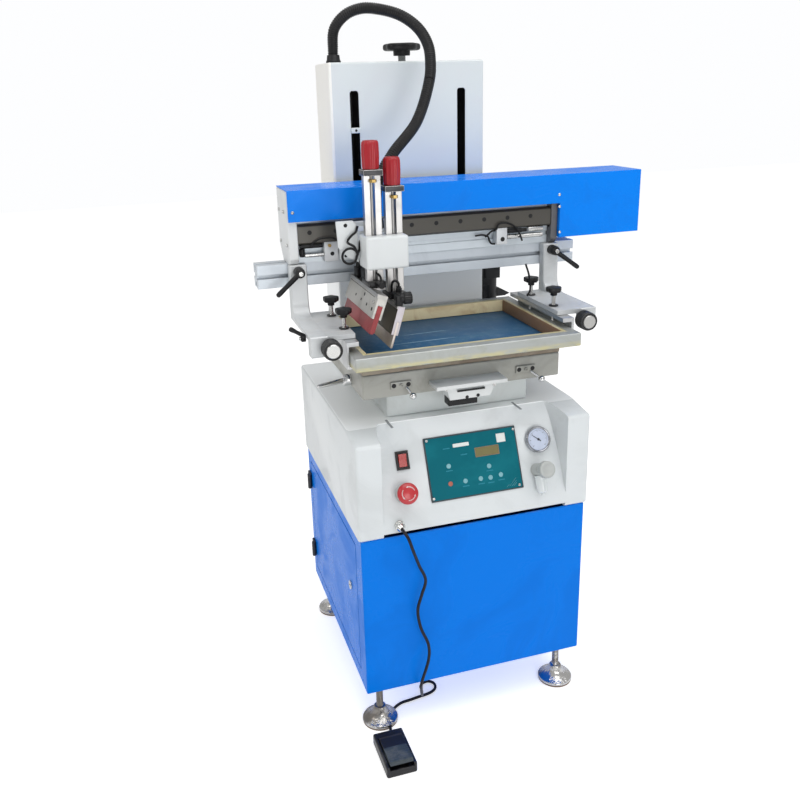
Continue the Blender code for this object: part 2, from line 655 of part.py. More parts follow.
def deck():
    """The moulded deck: one white shell with a recess in its front whose side walls curve inwards as
    it deepens, so that the control face leans back between two cheeks from a lip above the cabinet."""
    brow = DECK_FRONT + SLOPE_RUN
    side = [
        (DECK_FRONT, DECK_BOTTOM),
        (DECK_REAR, DECK_BOTTOM),
        (DECK_REAR, DECK_TOP),
        (brow, DECK_TOP),
        (DECK_FRONT, DECK_TOP - DECK_BROW),
    ]
    reach = HALF + DECK_OVERHANG
    shell = slab("deck", side, "X", -reach, reach)
    soften(shell, DECK_ROUND, 3)
    foot, head = SLOPE_FOOT, SLOPE_HEAD
    lean = SLOPE_RUN / (head[1] - foot[1])
    clear = DECK_BROW * 4
    wedge = [
        (foot[0] - clear, foot[1]),
        foot,
        (head[0] + lean * clear, head[1] + clear),
        (foot[0] - clear, head[1] + clear),
    ]
    recess = slab("recess", wedge, "X", -HALF, HALF)
    combine(recess, recess_walls(foot[0], clear), "INTERSECT")
    half = RECESS_WIDTH / 2
    shadow_gap = box(
        "shadow_gap",
        (-half, half),
        (DECK_FRONT - clear, DECK_FRONT + LIP_GAP_DEPTH),
        (DECK_BOTTOM - clear, CABINET_TOP + LIP_GAP),
    )
    add(cut(shell, rocker_well("switch_well", -ROCKER_WELL_DEPTH), recess, shadow_gap), WHITE, "machine")


def recess_walls(front, clear, steps=8):
    """What the recess keeps to, seen from above: two side walls that each follow a quarter ellipse."""
    inner = RECESS_WIDTH / 2 - RECESS_NARROWING
    turns = [math.pi / 2 * step / steps for step in range(steps + 1)]
    right = [(inner + RECESS_NARROWING * math.cos(turn), front + SLOPE_RUN * math.sin(turn)) for turn in turns]
    right = [(RECESS_WIDTH / 2, front - clear), *right, (inner, front + SLOPE_RUN + clear)]
    left = [(-x, y) for x, y in reversed(right)]
    return slab("recess_walls", right + left, "Z", CABINET_TOP, DECK_TOP + 2 * clear)


def rocker_well(name, low):
    """The opening that the rocker tilts in, through its frame and into the deck."""
    wide, tall = (size / 2 - ROCKER_RIM for size in ROCKER_SIZE)
    return seated(box(name, (-wide, wide), (-tall, tall), (low, -low)), ROCKER_PLACE, 0.0)


def instruments():
    """What sits on the sloped face, each piece seated flat on it."""
    width, height, thick = CONTROL_PANEL_SIZE
    x, up = CONTROL_PANEL_PLACE
    panel = seated(
        box("control_panel", (-width / 2, width / 2), (-height / 2, height / 2), (-thick / 2, thick / 2)),
        (x, up),
        SEAT + thick / 2,
    )
    soften(panel, 0.0008, 1)
    add(panel, TEAL, "machine")

    wide, tall = (size / 2 + ROCKER_RIM for size in ROCKER_SIZE)
    frame = seated(box("rocker_frame", (-wide, wide), (-tall, tall), (0.0, 0.003)), ROCKER_PLACE)
    add(cut(frame, rocker_well("rocker_well", -ROCKER_WELL_DEPTH)), BLACK, "machine")
    wide, half = (size / 2 - ROCKER_RIM for size in ROCKER_SIZE)
    half -= 0.0015
    outline = [(-half, 0.0004), (half, 0.0004), (half, 0.0072), (0.0, 0.0048), (-half, 0.0038)]
    rocker = slab("rocker_switch", outline, "X", -wide + 0.001, wide - 0.001)
    pin = rod("rocker_pin", (-wide + RUN, 0.0, ROCKER_PIVOT), (wide - RUN, 0.0, ROCKER_PIVOT), 0.0012, sides=10)
    add(seated(fuse(rocker, pin), ROCKER_PLACE, 0.0), RED, "rocker")

    collar = turned(
        "stop_collar",
        [
            (0.0, COLLAR_FLOOR),
            (STOP_STEM_RADIUS + RUN, COLLAR_FLOOR),
            (STOP_STEM_RADIUS + RUN, COLLAR_HEIGHT),
            (COLLAR_RADIUS * 0.68, COLLAR_HEIGHT),
            (COLLAR_RADIUS * 0.78, COLLAR_HEIGHT - 0.002),
            (COLLAR_RADIUS * 0.89, COLLAR_HEIGHT / 2),
            (COLLAR_RADIUS, 0.0),
            (0.0, 0.0),
        ],
        on_slope(*STOP_PLACE, SEAT),
        SLOPE_OUT,
    )
    add(collar, GREY, "machine")
    rim = COLLAR_HEIGHT + STOP_TRAVEL + 0.001
    button = turned(
        "stop_button",
        [
            (0.0, rim + 0.014),
            (STOP_RADIUS * 0.5, rim + 0.0135),
            (STOP_RADIUS * 0.86, rim + 0.011),
            (STOP_RADIUS, rim + 0.007),
            (STOP_RADIUS * 0.97, rim + 0.002),
            (STOP_STEM_RADIUS, rim),
            (STOP_STEM_RADIUS, COLLAR_FLOOR + STOP_TRAVEL + RUN),
            (0.0, COLLAR_FLOOR + STOP_TRAVEL + RUN),
        ],
        on_slope(*STOP_PLACE, SEAT),
        SLOPE_OUT,
    )
    add(button, RED, "stop_button")
    gauge = turned(
        "vacuum_gauge",
        [
            (0.0, GAUGE_HEIGHT - GAUGE_GLASS_DROP),
            (GAUGE_RADIUS - GAUGE_BEZEL, GAUGE_HEIGHT - GAUGE_GLASS_DROP),
            (GAUGE_RADIUS - GAUGE_BEZEL * 0.6, GAUGE_HEIGHT),
            (GAUGE_RADIUS - GAUGE_BEZEL * 0.25, GAUGE_HEIGHT),
            (GAUGE_RADIUS, GAUGE_HEIGHT - GAUGE_GLASS_DROP),
            (GAUGE_RADIUS, 0.0),
            (0.0, 0.0),
        ],
        on_slope(*GAUGE_PLACE, SEAT),
        SLOPE_OUT,
        sides=32,
    )
    add(gauge, CHROME, "machine")
    body = turned(
        "regulator_body",
        [
            (0.0, REGULATOR_BODY_HEIGHT),
            (REGULATOR_BODY_RADIUS, REGULATOR_BODY_HEIGHT),
            (REGULATOR_BODY_RADIUS, 0.0),
            (0.0, 0.0),
        ],
        on_slope(*REGULATOR_PLACE, SEAT),
        SLOPE_OUT,
    )
    across, up = REGULATOR_PLACE
    bowl_foot = on_slope(across, up - REGULATOR_BOWL_REACH, REGULATOR_BOWL_OUT)
    drain_foot = on_slope(across, up - REGULATOR_BOWL_REACH - REGULATOR_BOWL_RADIUS * 0.4, REGULATOR_BOWL_OUT)
    bowl_head = on_slope(across, up, REGULATOR_BOWL_OUT)
    bowl = rod("regulator_bowl", bowl_head, bowl_foot, REGULATOR_BOWL_RADIUS, REGULATOR_BOWL_RADIUS * 0.82, sides=20)
    drain = rod("regulator_drain", bowl_head, drain_foot, REGULATOR_BOWL_RADIUS * 0.36, sides=12)
    add(fuse(body, bowl, drain), GREY, "machine")
    knob = turned(
        "regulator_knob",
        [
            (0.0, REGULATOR_HEIGHT),
            (REGULATOR_KNOB_RADIUS - REGULATOR_KNOB_ROUND, REGULATOR_HEIGHT),
            (REGULATOR_KNOB_RADIUS, REGULATOR_HEIGHT - REGULATOR_KNOB_ROUND),
            (REGULATOR_KNOB_RADIUS, REGULATOR_BODY_HEIGHT + REGULATOR_KNOB_ROUND),
            (REGULATOR_BODY_RADIUS, REGULATOR_BODY_HEIGHT + RUN),
            (0.0, REGULATOR_BODY_HEIGHT + RUN),
        ],
        on_slope(*REGULATOR_PLACE, SEAT),
        SLOPE_OUT,
    )
    add(knob, GREY, "regulator_knob")
    gx, gz = GLAND_PLACE
    gland = turned(
        "cord_gland",
        [
            (0.0, GLAND_LENGTH),
            (GLAND_RADIUS * 0.47, GLAND_LENGTH),
            (GLAND_RADIUS * 0.79, GLAND_LENGTH * 0.7),
            (GLAND_RADIUS * 0.89, GLAND_LENGTH * 0.6),
            (GLAND_RADIUS * 0.89, 0.005),
            (GLAND_RADIUS, 0.004),
            (GLAND_RADIUS, 0.0),
            (0.0, 0.0),
        ],
        (gx, DECK_FRONT - SEAT, gz),
        (0.0, -1.0, 0.0),
        sides=16,
    )
    add(gland, CHROME, "machine")


def bed():
    """The print bed on its pedestal, with the front register block and the side locking handle."""
    half = BED_WIDTH / 2
    inset = half - PEDESTAL_SIDE_INSET
    pedestal = box(
        "bed_pedestal",
        (-inset, inset),
        (BED_FRONT + PEDESTAL_INSET, BED_REAR - PEDESTAL_INSET),
        (DECK_TOP + SEAT, BED_UNDERSIDE - SEAT),
    )
    add(soften(pedestal, 0.004), WHITE, "machine")
    table = box("bed_box", (-half, half), (BED_FRONT, BED_REAR), (BED_UNDERSIDE, BED_BOX_TOP))
    add(soften(table, 0.003), WHITE, "machine")
    plate = box("bed_top", (-half, half), (BED_FRONT, BED_REAR), (BED_BOX_TOP + SEAT, BED_TOP))
    add(soften(plate, 0.001, 1), BED_PLATE, "machine")
    width = REGISTER_WIDTH / 2
    rear = BED_FRONT - SEAT
    front = rear - REGISTER_REACH
    ledge_z = BED_BOX_TOP - REGISTER_DROP
    block_z = ledge_z - REGISTER_BLOCK_HEIGHT
    face = [
        (-width * 0.70, ledge_z),
        (width * 0.70, ledge_z),
        (width * 0.54, block_z),
        (-width * 0.60, block_z),
    ]
    block = slab("register_block", face, "Y", front + 0.006, rear)
    ledge = box("register_ledge", (-width, width), (front, rear), (ledge_z - 0.001, ledge_z - 0.001 + REGISTER_LEDGE))
    foot_zs = sorted(ledge_z - drop for drop in REGISTER_FOOT)
    foot = box("register_foot", (-width * 0.6, width * 0.2), (front + 0.012, rear - 0.006), foot_zs)
    slot_zs = (ledge_z - REGISTER_SLOT[1], ledge_z - REGISTER_SLOT[0])
    slot = box("register_slot", (-width * 0.42, width * 0.36), (front - 0.01, front + REGISTER_SLOT_DEPTH), slot_zs)
    add(cut(fuse(block, ledge, foot), slot), CAST, "machine")
    y, z = BED_FRONT + BED_HANDLE_FROM_FRONT, BED_UNDERSIDE + 0.014
    hub = rod("bed_handle", (-half - SEAT, y, z), (-half - 0.016, y, z), 0.011, sides=20)
    tip = (-half - BED_HANDLE_LENGTH, y - 0.030, z + 0.004)
    grip = rod("handle_grip", (-half - 0.010, y, z), tip, 0.005, 0.004, sides=12)
    add(fuse(hub, grip), CHROME, "machine")


def column():
    """The square column, with two slots in its front that the lift shoes run in."""
    half = COLUMN_WIDTH / 2
    tower = box("column", (-half, half), (COLUMN_FRONT, COLUMN_FRONT + COLUMN_DEPTH), (DECK_TOP + SEAT, COLUMN_TOP))
    soften(tower, 0.003, 2)
    slots = [
        box(
            "slot",
            (side * SHOE_X - SLOT_WIDTH / 2, side * SHOE_X + SLOT_WIDTH / 2),
            (COLUMN_FRONT - 0.01, COLUMN_FRONT + SLOT_DEPTH),
            (SLOT_BOTTOM, SLOT_TOP),
        )
        for side in (-1, 1)
    ]
    add(cut(tower, *slots), WHITE, "machine")
    lobes_z = COLUMN_TOP + STAR_RISE
    knob = star_knob("column_knob", STAR_X, COLUMN_MIDDLE, lobes_z, STAR_RADIUS, STAR_HEIGHT, STAR_STEM, COLUMN_TOP + SEAT)
    add(knob, BLACK, "column_knob")
    x = half + SEAT
    y = COLUMN_FRONT + 0.030
    low = DECK_TOP + FILTER_RISE
    high = low + FILTER_HEIGHT
    axis_x = x + FILTER_RADIUS * 1.5
    bracket = box("air_filter", (x, axis_x), (y - FILTER_RADIUS, y + FILTER_RADIUS), (high - 0.050, high - 0.004))
    head = box("filter_head", (x + 0.010, axis_x + FILTER_RADIUS), (y - 0.022, y + 0.022), (high - 0.035, high))
    bowl = rod("filter_bowl", (axis_x, y, low), (axis_x, y, high - 0.030), FILTER_RADIUS, sides=20)
    add(fuse(bracket, head, bowl), BLACK, "machine")


def hose():
    """The ribbed hose from the column's top over to the carriage, in two lengths that meet on the head."""
    x, y, top = -0.138, COLUMN_FRONT + 0.059, COLUMN_TOP
    upper = [
        (x, y, top + SEAT),
        (x, y, top + 0.0253),
        (x + 0.001, y - 0.012, top + 0.0623),
        (x + 0.020, y - 0.030, top + 0.0873),
        (x + 0.047, y - 0.045, top + 0.0978),
        (x + 0.074, y - 0.060, top + 0.0963),
        (x + 0.116, y - 0.085, top + 0.0823),
        (x + 0.144, y - 0.110, top + 0.0563),
        (x + 0.156, y - 0.130, top + 0.0253),
        (x + 0.155, y - 0.145, top - 0.0057),
        (x + 0.147, y - 0.160, top - 0.0377),
    ]
    x, y, low = HOSE_END
    lower = [
        (x + 0.0965, y + 0.040, low + 0.188),
        (x + 0.0365, y + 0.010, low + 0.131),
        (x + 0.0085, y + 0.001, low + 0.092),
        (x, y, low + 0.055),
        (x, y, low + 0.025),
        HOSE_END,
    ]
    whole = smooth_route(upper + lower, 0.024)
    split = int(np.argmin(np.linalg.norm(whole - np.array(upper[-1]), axis=1)))
    middle = (whole[split] + whole[split + 1]) / 2
    along = (whole[split + 1] - whole[split]) / np.linalg.norm(whole[split + 1] - whole[split])
    first = np.vstack([whole[: split + 1], middle - along * SEAT / 2])
    second = np.vstack([middle + along * SEAT / 2, whole[split + 1 :]])
    add_line("hose_upper", first, HOSE_RADIUS, "machine")
    add_line("hose_lower", second, HOSE_RADIUS, "carriage")


def add_line(name, route, radius, carrier, sides_from=3):
    """A black hose or cord along a route, which rides on its carrier."""
    empty, place = joints[carrier]
    piece = tube(name, route, radius, sides_from)
    piece.data.materials.append(RUBBER)
    piece.parent = empty
    piece.matrix_basis = place.inverted()


def beam():
    """The head's extruded beam with its guide rail, end plates, sheet cover and lift shoes."""
    half = BEAM_LENGTH / 2
    low, high, front = GUIDE_RAIL_LOW, GUIDE_RAIL_HIGH, GUIDE_RAIL_FRONT
    groove = 0.004
    round_off = 0.006
    outline = [
        (BEAM_FRONT, BEAM_UNDERSIDE),
        (BEAM_REAR, BEAM_UNDERSIDE),
        (BEAM_REAR, BEAM_TOP),
        (BEAM_FRONT, BEAM_TOP),
        (BEAM_FRONT, high + groove),
        (front + round_off, high + groove),
        (front, high),
        (front, low),
        (front + round_off, low - groove),
        (BEAM_FRONT, low - groove),
        (BEAM_FRONT, BEAM_UNDERSIDE + 6 * groove),
        (BEAM_FRONT + groove, BEAM_UNDERSIDE + 6 * groove),
        (BEAM_FRONT + groove, BEAM_UNDERSIDE + 4 * groove),
        (BEAM_FRONT, BEAM_UNDERSIDE + 4 * groove),
    ]
    add(slab("beam", outline, "X", -half, half), ALUMINIUM, "head")
    left = -half - SEAT
    plate_top = COVER_TOP - SHEET - SEAT
    plate_front = GUIDE_RAIL_FRONT - 0.002
    shape = [
        (plate_front, BEAM_UNDERSIDE + 0.010),
        (plate_front + 0.010, BEAM_UNDERSIDE),
        (BEAM_REAR - 0.030, BEAM_UNDERSIDE),
        (BEAM_REAR, BEAM_UNDERSIDE + 0.030),
        (BEAM_REAR, plate_top),
        (plate_front, plate_top),
    ]
    add(soften(slab("end_plate_left", shape, "X", left - END_PLATE_LEFT, left), 0.0015, 1), WHITE, "head")
    right = half + SEAT
    plate = slab("end_plate_right", shape, "X", right, right + END_PLATE_RIGHT)
    hole = (front + 0.011, BEAM_UNDERSIDE + 0.038)
    window = rod("plate_hole", (right - SHEET, *hole), (right + END_PLATE_RIGHT + SHEET, *hole), 0.006, sides=16)
    add(cut(plate, window), DARK_STEEL, "head")
    face = [
        (COVER_LEFT, COVER_TOP - COVER_HEIGHT),
        (MOTOR_BOX_LEFT, COVER_TOP - COVER_HEIGHT),
        (MOTOR_BOX_LEFT, COVER_TOP - MOTOR_BOX_HEIGHT),
        (COVER_RIGHT, COVER_TOP - MOTOR_BOX_HEIGHT),
        (COVER_RIGHT, COVER_TOP),
        (COVER_LEFT, COVER_TOP),
    ]
    cover = slab("beam_cover", face, "Y", COVER_FRONT, BEAM_REAR + SHEET)
    under = box(
        "cover_hollow",
        (COVER_LEFT - 0.01, MOTOR_BOX_LEFT),
        (COVER_FRONT + SHEET, BEAM_REAR + 0.02),
        (COVER_TOP - COVER_HEIGHT - 0.01, COVER_TOP - SHEET),
    )
    add(soften(cut(cover, under), 0.001, 1), BLUE, "head")
    rear = BEAM_REAR + SEAT
    wide = SHOE_X + 0.030
    shoe_top = SHOE_LOW + SHOE_HEIGHT
    bridge = box("lift_bracket", (-wide, wide), (rear, COLUMN_FRONT - BRACKET_GAP), (SHOE_LOW, shoe_top - 0.002))
    shoes = [
        box(
            "lift_shoe",
            (side * SHOE_X - SLOT_WIDTH / 2 + RUN, side * SHOE_X + SLOT_WIDTH / 2 - RUN),
            (rear + 0.004, COLUMN_FRONT + SLOT_DEPTH - 0.006),
            (SHOE_LOW + 0.004, shoe_top - 0.006),
        )
        for side in (-1, 1)
    ]
    add(fuse(bridge, *shoes), DARK_STEEL, "head")


def slotted_square(size, slot):
    """The outline of a square extrusion with one slot in each face, centred on (0, 0)."""
    half, (wide, deep) = size / 2, slot
    lip = 0.0035
    right_side = [(wide * 0.6, -half + deep), (wide, -half + lip), (wide / 2, -half + lip), (wide / 2, -half)]
    left_side = [(-x, y) for x, y in reversed(right_side)]
    face = [(-half, -half), *left_side, *right_side]
    outline = []
    for quarter in range(4):
        turn = quarter * math.pi / 2
        outline += [(x * math.cos(turn) - y * math.sin(turn), x * math.sin(turn) + y * math.cos(turn)) for x, y in face]
    return outline


def frame_rail():
    """The slotted cross rail under the beam that the two arms are clamped to."""
    centre = (RAIL_FRONT + RAIL_SIZE / 2, RAIL_MIDDLE)
    outline = [(centre[0] + y, centre[1] + z) for y, z in slotted_square(RAIL_SIZE, RAIL_SLOT)]
    add(slab("frame_rail", outline, "X", RAIL_LEFT, RAIL_RIGHT), ALUMINIUM, "head")


def arms():
    """Two angle arms that hang from the rail and reach forward over the screen's sides."""
    for side, label in around("left", "right"):
        inner, outer = ARM_INNER, ARM_INNER + ARM_WIDTH
        block_deep, block_drop = CHEEK_BLOCK
        middle = (ARM_FRONT - ARM_GUSSET, SHELF_TOP + ARM_GUSSET)
        turns = [math.pi / 2 * step / 5 for step in range(6)]
        gusset = [
            (middle[0] + ARM_GUSSET * math.cos(turn), middle[1] - ARM_GUSSET * math.sin(turn)) for turn in turns
        ]
        profile = [
            (ARM_REAR, ARM_TOP),
            (ARM_FRONT, ARM_TOP),
            *gusset,
            (SHELF_FRONT, SHELF_TOP),
            (SHELF_FRONT, SHELF_BOTTOM - block_drop),
            (SHELF_FRONT + block_deep, SHELF_BOTTOM - block_drop),
            (SHELF_FRONT + block_deep, SHELF_BOTTOM),
            (ARM_REAR, SHELF_BOTTOM),
        ]
        xs = sorted((side * inner, side * outer))
        arm = slab("arm_" + label, profile, "X", *xs)
        soften(arm, 0.002, 1)
        shelf_xs = sorted((side * (SCREEN_WIDTH / 2 - CHANNEL_LIP), side * (inner + 0.010)))
        shelf_ys = (SHELF_FRONT + SHELF_INSET, ARM_REAR - SHELF_INSET)
        shelf = box("arm_shelf", shelf_xs, shelf_ys, (SHELF_BOTTOM + SHELF_SKIN, SHELF_TOP - SHELF_SKIN))
        add(cut(fuse(arm, shelf), *screw_holes(side, SHELF_BOTTOM, SHELF_TOP)), CAST, "head")
        channel(side, label)
        clamps(side, label)


def screw_holes(side, low, high):
    """The two holes that an arm's clamping screws pass down through."""
    x = side * CLAMP_KNOB_X
    return [
        rod("screw_hole", (x, y, low - 0.005), (x, y, high + 0.005), CLAMP_HOLE_RADIUS, sides=16)
        for y in (CLAMP_KNOB_FRONT, CLAMP_KNOB_REAR)
    ]


def channel(side, label):
    """The C-shaped channel under an arm's shelf that the screen's side slides into."""
    outer = CHANNEL_OUTER
    inner = SCREEN_WIDTH / 2 - CHANNEL_LIP
    low = SCREEN_UNDERSIDE - SEAT - CHANNEL_WALL
    high = SHELF_BOTTOM - SEAT
    lip = high - 0.008
    points = [
        (inner, low),
        (outer, low),
        (outer, high),
        (inner, high),
        (inner, lip),
        (outer - CHANNEL_WALL, lip),
        (outer - CHANNEL_WALL, low + CHANNEL_WALL),
        (inner, low + CHANNEL_WALL),
    ]
    ends = (SCREEN_FRONT + CHANNEL_END_MARGINS[0], SCREEN_REAR - CHANNEL_END_MARGINS[1])
    piece = slab("screen_channel_" + label, [(side * x, z) for x, z in points], "Y", *ends)
    add(cut(piece, *screw_holes(side, lip, high)), ALUMINIUM, "head")


def clamps(side, label):
    """An arm's clamp lever, its two screen clamping knobs and its adjusting dial."""
    middle = side * (ARM_INNER + ARM_WIDTH / 2)
    face = ARM_FRONT - SEAT
    hub_end = (middle, face - LEVER_HUB, LEVER_Z)
    hub = rod("lever_" + label, (middle, face, LEVER_Z), hub_end, LEVER_RADIUS, LEVER_RADIUS * 0.85, sides=16)
    root = (middle, face - LEVER_HUB * 0.7, LEVER_Z)
    tip = (middle + side * LEVER_LENGTH * 0.80, face - LEVER_HUB * 1.25, LEVER_Z - LEVER_LENGTH * 0.62)
    handle = rod("lever_handle", root, tip, LEVER_RADIUS * 0.50, LEVER_RADIUS * 0.42, sides=12)
    add(fuse(hub, handle), BLACK, "lever_" + label)
    for row, y in (("front", CLAMP_KNOB_FRONT), ("rear", CLAMP_KNOB_REAR)):
        name = f"{row}_knob_{label}"
        x, z = side * CLAMP_KNOB_X, SHELF_TOP + CLAMP_KNOB_RISE
        knob = star_knob(name, x, y, z, CLAMP_KNOB_RADIUS, 0.010, CLAMP_STEM_RADIUS, SCREEN_TOP + SEAT)
        add(knob, BLACK, name)
    dial = turned(
        "dial_" + label,
        [
            (0.0, DIAL_LENGTH),
            (DIAL_RADIUS * 0.68, DIAL_LENGTH),
            (DIAL_RADIUS * 0.72, DIAL_LENGTH - 0.002),
            (DIAL_RADIUS, DIAL_LENGTH - 0.002),
            (DIAL_RADIUS, 0.010),
            (DIAL_RADIUS * 0.60, 0.008),
            (DIAL_RADIUS * 0.60, 0.0),
            (0.0, 0.0),
        ],
        (side * ARM_INNER, DIAL_Y, DIAL_Z),
        (0.0, -1.0, 0.0),
    )
    add(dial, BLACK, "dial_" + label)


def screen():
    """The printing screen: a mitred frame, and the mesh glued under it."""
    half, bar = SCREEN_WIDTH / 2, SCREEN_BAR
    rear = SCREEN_REAR
    frame = box("screen_frame", (-half, half), (SCREEN_FRONT, rear), (SCREEN_UNDERSIDE, SCREEN_TOP))
    soften(frame, 0.0015, 1)
    window = box(
        "screen_window",
        (-half + bar, half - bar),
        (SCREEN_FRONT + bar, rear - bar),
        (SCREEN_UNDERSIDE - 0.01, SCREEN_TOP + 0.01),
    )
    add(cut(frame, window), ALUMINIUM, "head")
    side, end = MESH_MARGIN
    cloth = box(
        "screen_mesh",
        (-half + side, half - side),
        (SCREEN_FRONT + end, rear - end),
        (SCREEN_UNDERSIDE - SEAT - MESH_THICKNESS, SCREEN_UNDERSIDE - SEAT),
    )
    add(cloth, MESH_BLUE, "head")


def carriage():
    """The carriage plate on the guide rail, its forward block and the box that covers the cylinders."""
    wide, thick, tall = CARRIAGE_PLATE
    rear = CARRIAGE_PLATE_REAR
    z = CARRIAGE_PLATE_UNDERSIDE
    plate = box("carriage_plate", (CARRIAGE_X - wide / 2, CARRIAGE_X + wide / 2), (rear - thick, rear), (z, z + tall))
    soften(plate, 0.001, 1)
    block_wide = CARRIAGE_BLOCK[0]
    front = UNIT_Y + CARRIAGE_COVER[1] / 2 + SEAT
    block = box(
        "carriage_block",
        (CARRIAGE_X - block_wide / 2, CARRIAGE_X + block_wide / 2),
        (front, rear - thick + 0.004),
        (BLOCK_UNDERSIDE, BLOCK_TOP),
    )
    add(fuse(plate, block), CAST, "carriage")
    box_wide, box_deep, box_tall = CARRIAGE_COVER
    cover = box(
        "carriage_cover",
        (CARRIAGE_X - box_wide / 2, CARRIAGE_X + box_wide / 2),
        (UNIT_Y - box_deep / 2, UNIT_Y + box_deep / 2),
        (COVER_BOX_UNDERSIDE, COVER_BOX_UNDERSIDE + box_tall),
    )
    soften(cover, 0.004, 2)
    half_x = UNIT_GAP / 2 + UNIT_BAR[0] + RUN
    half_y = UNIT_BAR[1] / 2 + RUN
    wells = [
        box(
            "unit_well",
            (CARRIAGE_X + side * UNIT_SPACING / 2 - half_x, CARRIAGE_X + side * UNIT_SPACING / 2 + half_x),
            (UNIT_Y - half_y, UNIT_Y + half_y),
            (COVER_BOX_UNDERSIDE - 0.01, COVER_BOX_UNDERSIDE + box_tall + 0.01),
        )
        for side in (-1, 1)
    ]
    add(cut(cover, *wells), WHITE, "carriage")


def leaning(places, x, top, tilt):
    """A holder's (across, down) places as (x, z) ones, turned so that down runs to the left."""
    turn = math.radians(tilt)
    return [
        (x + across * math.cos(turn) - down * math.sin(turn), top - across * math.sin(turn) - down * math.cos(turn))
        for across, down in places
    ]


def blade_unit(name, side, raised, sizes, material):
    """One lifting unit: a red adjusting knob on a flange, twin guide bars, and under them a leaning
    holder that grips its blade in a slot. The sizes are the holder's top above the screen, its shift
    from the bars, its tilt, its thickness and height, and the blade's thickness and reach below it."""
    x = CARRIAGE_X + side * UNIT_SPACING / 2
    flange_z = UNIT_FLANGE_Z + raised
    bar_wide, bar_deep = UNIT_BAR
    top = SCREEN_TOP + sizes["top"]
    foot_top = top + UNIT_FOOT_HEIGHT
    wide, deep, thick = (size / 2 for size in UNIT_FLANGE)
    flange_ys = (UNIT_Y - deep, UNIT_Y + deep)
    flange = box(name + "_slide", (x - wide, x + wide), flange_ys, (flange_z, flange_z + 2 * thick))
    bars = [
        box(
            "guide_bar",
            sorted((x + end * UNIT_GAP / 2, x + end * (UNIT_GAP / 2 + bar_wide))),
            (UNIT_Y - bar_deep / 2, UNIT_Y + bar_deep / 2),
            (foot_top - UNIT_FOOT_SINK, flange_z + thick),
        )
        for end in (-1, 1)
    ]
    foot_wide = UNIT_GAP / 2 + bar_wide + RUN
    foot = box(
        "bar_foot",
        (x - foot_wide, x + foot_wide),
        (UNIT_Y - UNIT_FOOT_REACH[0], UNIT_Y + UNIT_FOOT_REACH[1]),
        (top - UNIT_FOOT_SINK, foot_top),
    )
    screw_foot = (x, UNIT_Y, foot_top - UNIT_FOOT_SINK)
    screw = rod("lead_screw", screw_foot, (x, UNIT_Y, flange_z + thick), UNIT_GAP / 3, sides=10)
    half, tall = sizes["holder"][0] / 2, sizes["holder"][1]
    blade_thick, reach = sizes["blade"]
    grip = blade_thick / 2 + SEAT
    cap_out, cap_tall = HOLDER_CAP
    profile = [
        (-half - cap_out, 0.0),
        (half, 0.0),
        (half, tall),
        (grip, tall),
        (grip, tall - BLADE_GRIP),
        (-grip, tall - BLADE_GRIP),
        (-grip, tall),
        (-half, tall),
        (-half, cap_tall),
        (-half - cap_out, cap_tall),
    ]
    lean = (x + sizes["shift"], top, sizes["tilt"])
    holder = slab(name + "_holder", leaning(profile, *lean), "Y", HOLDER_FRONT, HOLDER_REAR)
    add(fuse(flange, *bars, foot, screw, holder), ALUMINIUM, name)
    knob = turned(
        name + "_knob",
        [
            (0.0, KNOB_HEIGHT),
            (KNOB_RADIUS * 0.80, KNOB_HEIGHT),
            (KNOB_RADIUS * 0.95, KNOB_HEIGHT - 0.004),
            (KNOB_RADIUS, KNOB_HEIGHT * 0.55),
            (KNOB_RADIUS * 0.95, 0.004),
            (KNOB_RADIUS * 0.72, 0.0),
            (0.0, 0.0),
        ],
        (x, UNIT_Y, flange_z + 2 * thick + SEAT),
    )
    add(knob, RED, name)
    edge = blade_thick * 0.4
    outline = [
        (-blade_thick / 2, tall - BLADE_GRIP + SEAT),
        (blade_thick / 2, tall - BLADE_GRIP + SEAT),
        (blade_thick / 2, tall + reach - edge),
        (blade_thick / 2 - edge, tall + reach),
        (-blade_thick / 2, tall + reach),
    ]
    blade = slab(name + "_blade", leaning(outline, *lean), "Y", BLADE_FRONT, BLADE_FRONT + BLADE_LENGTH)
    add(blade, material, name)


def print_units():
    """The squeegee, held up at rest, and the flood bar, which rests low beside it."""
    blade_unit("squeegee", -1, UNIT_STROKE, SQUEEGEE, URETHANE)
    blade_unit("flood", 1, 0.0, FLOOD_BAR, STEEL)


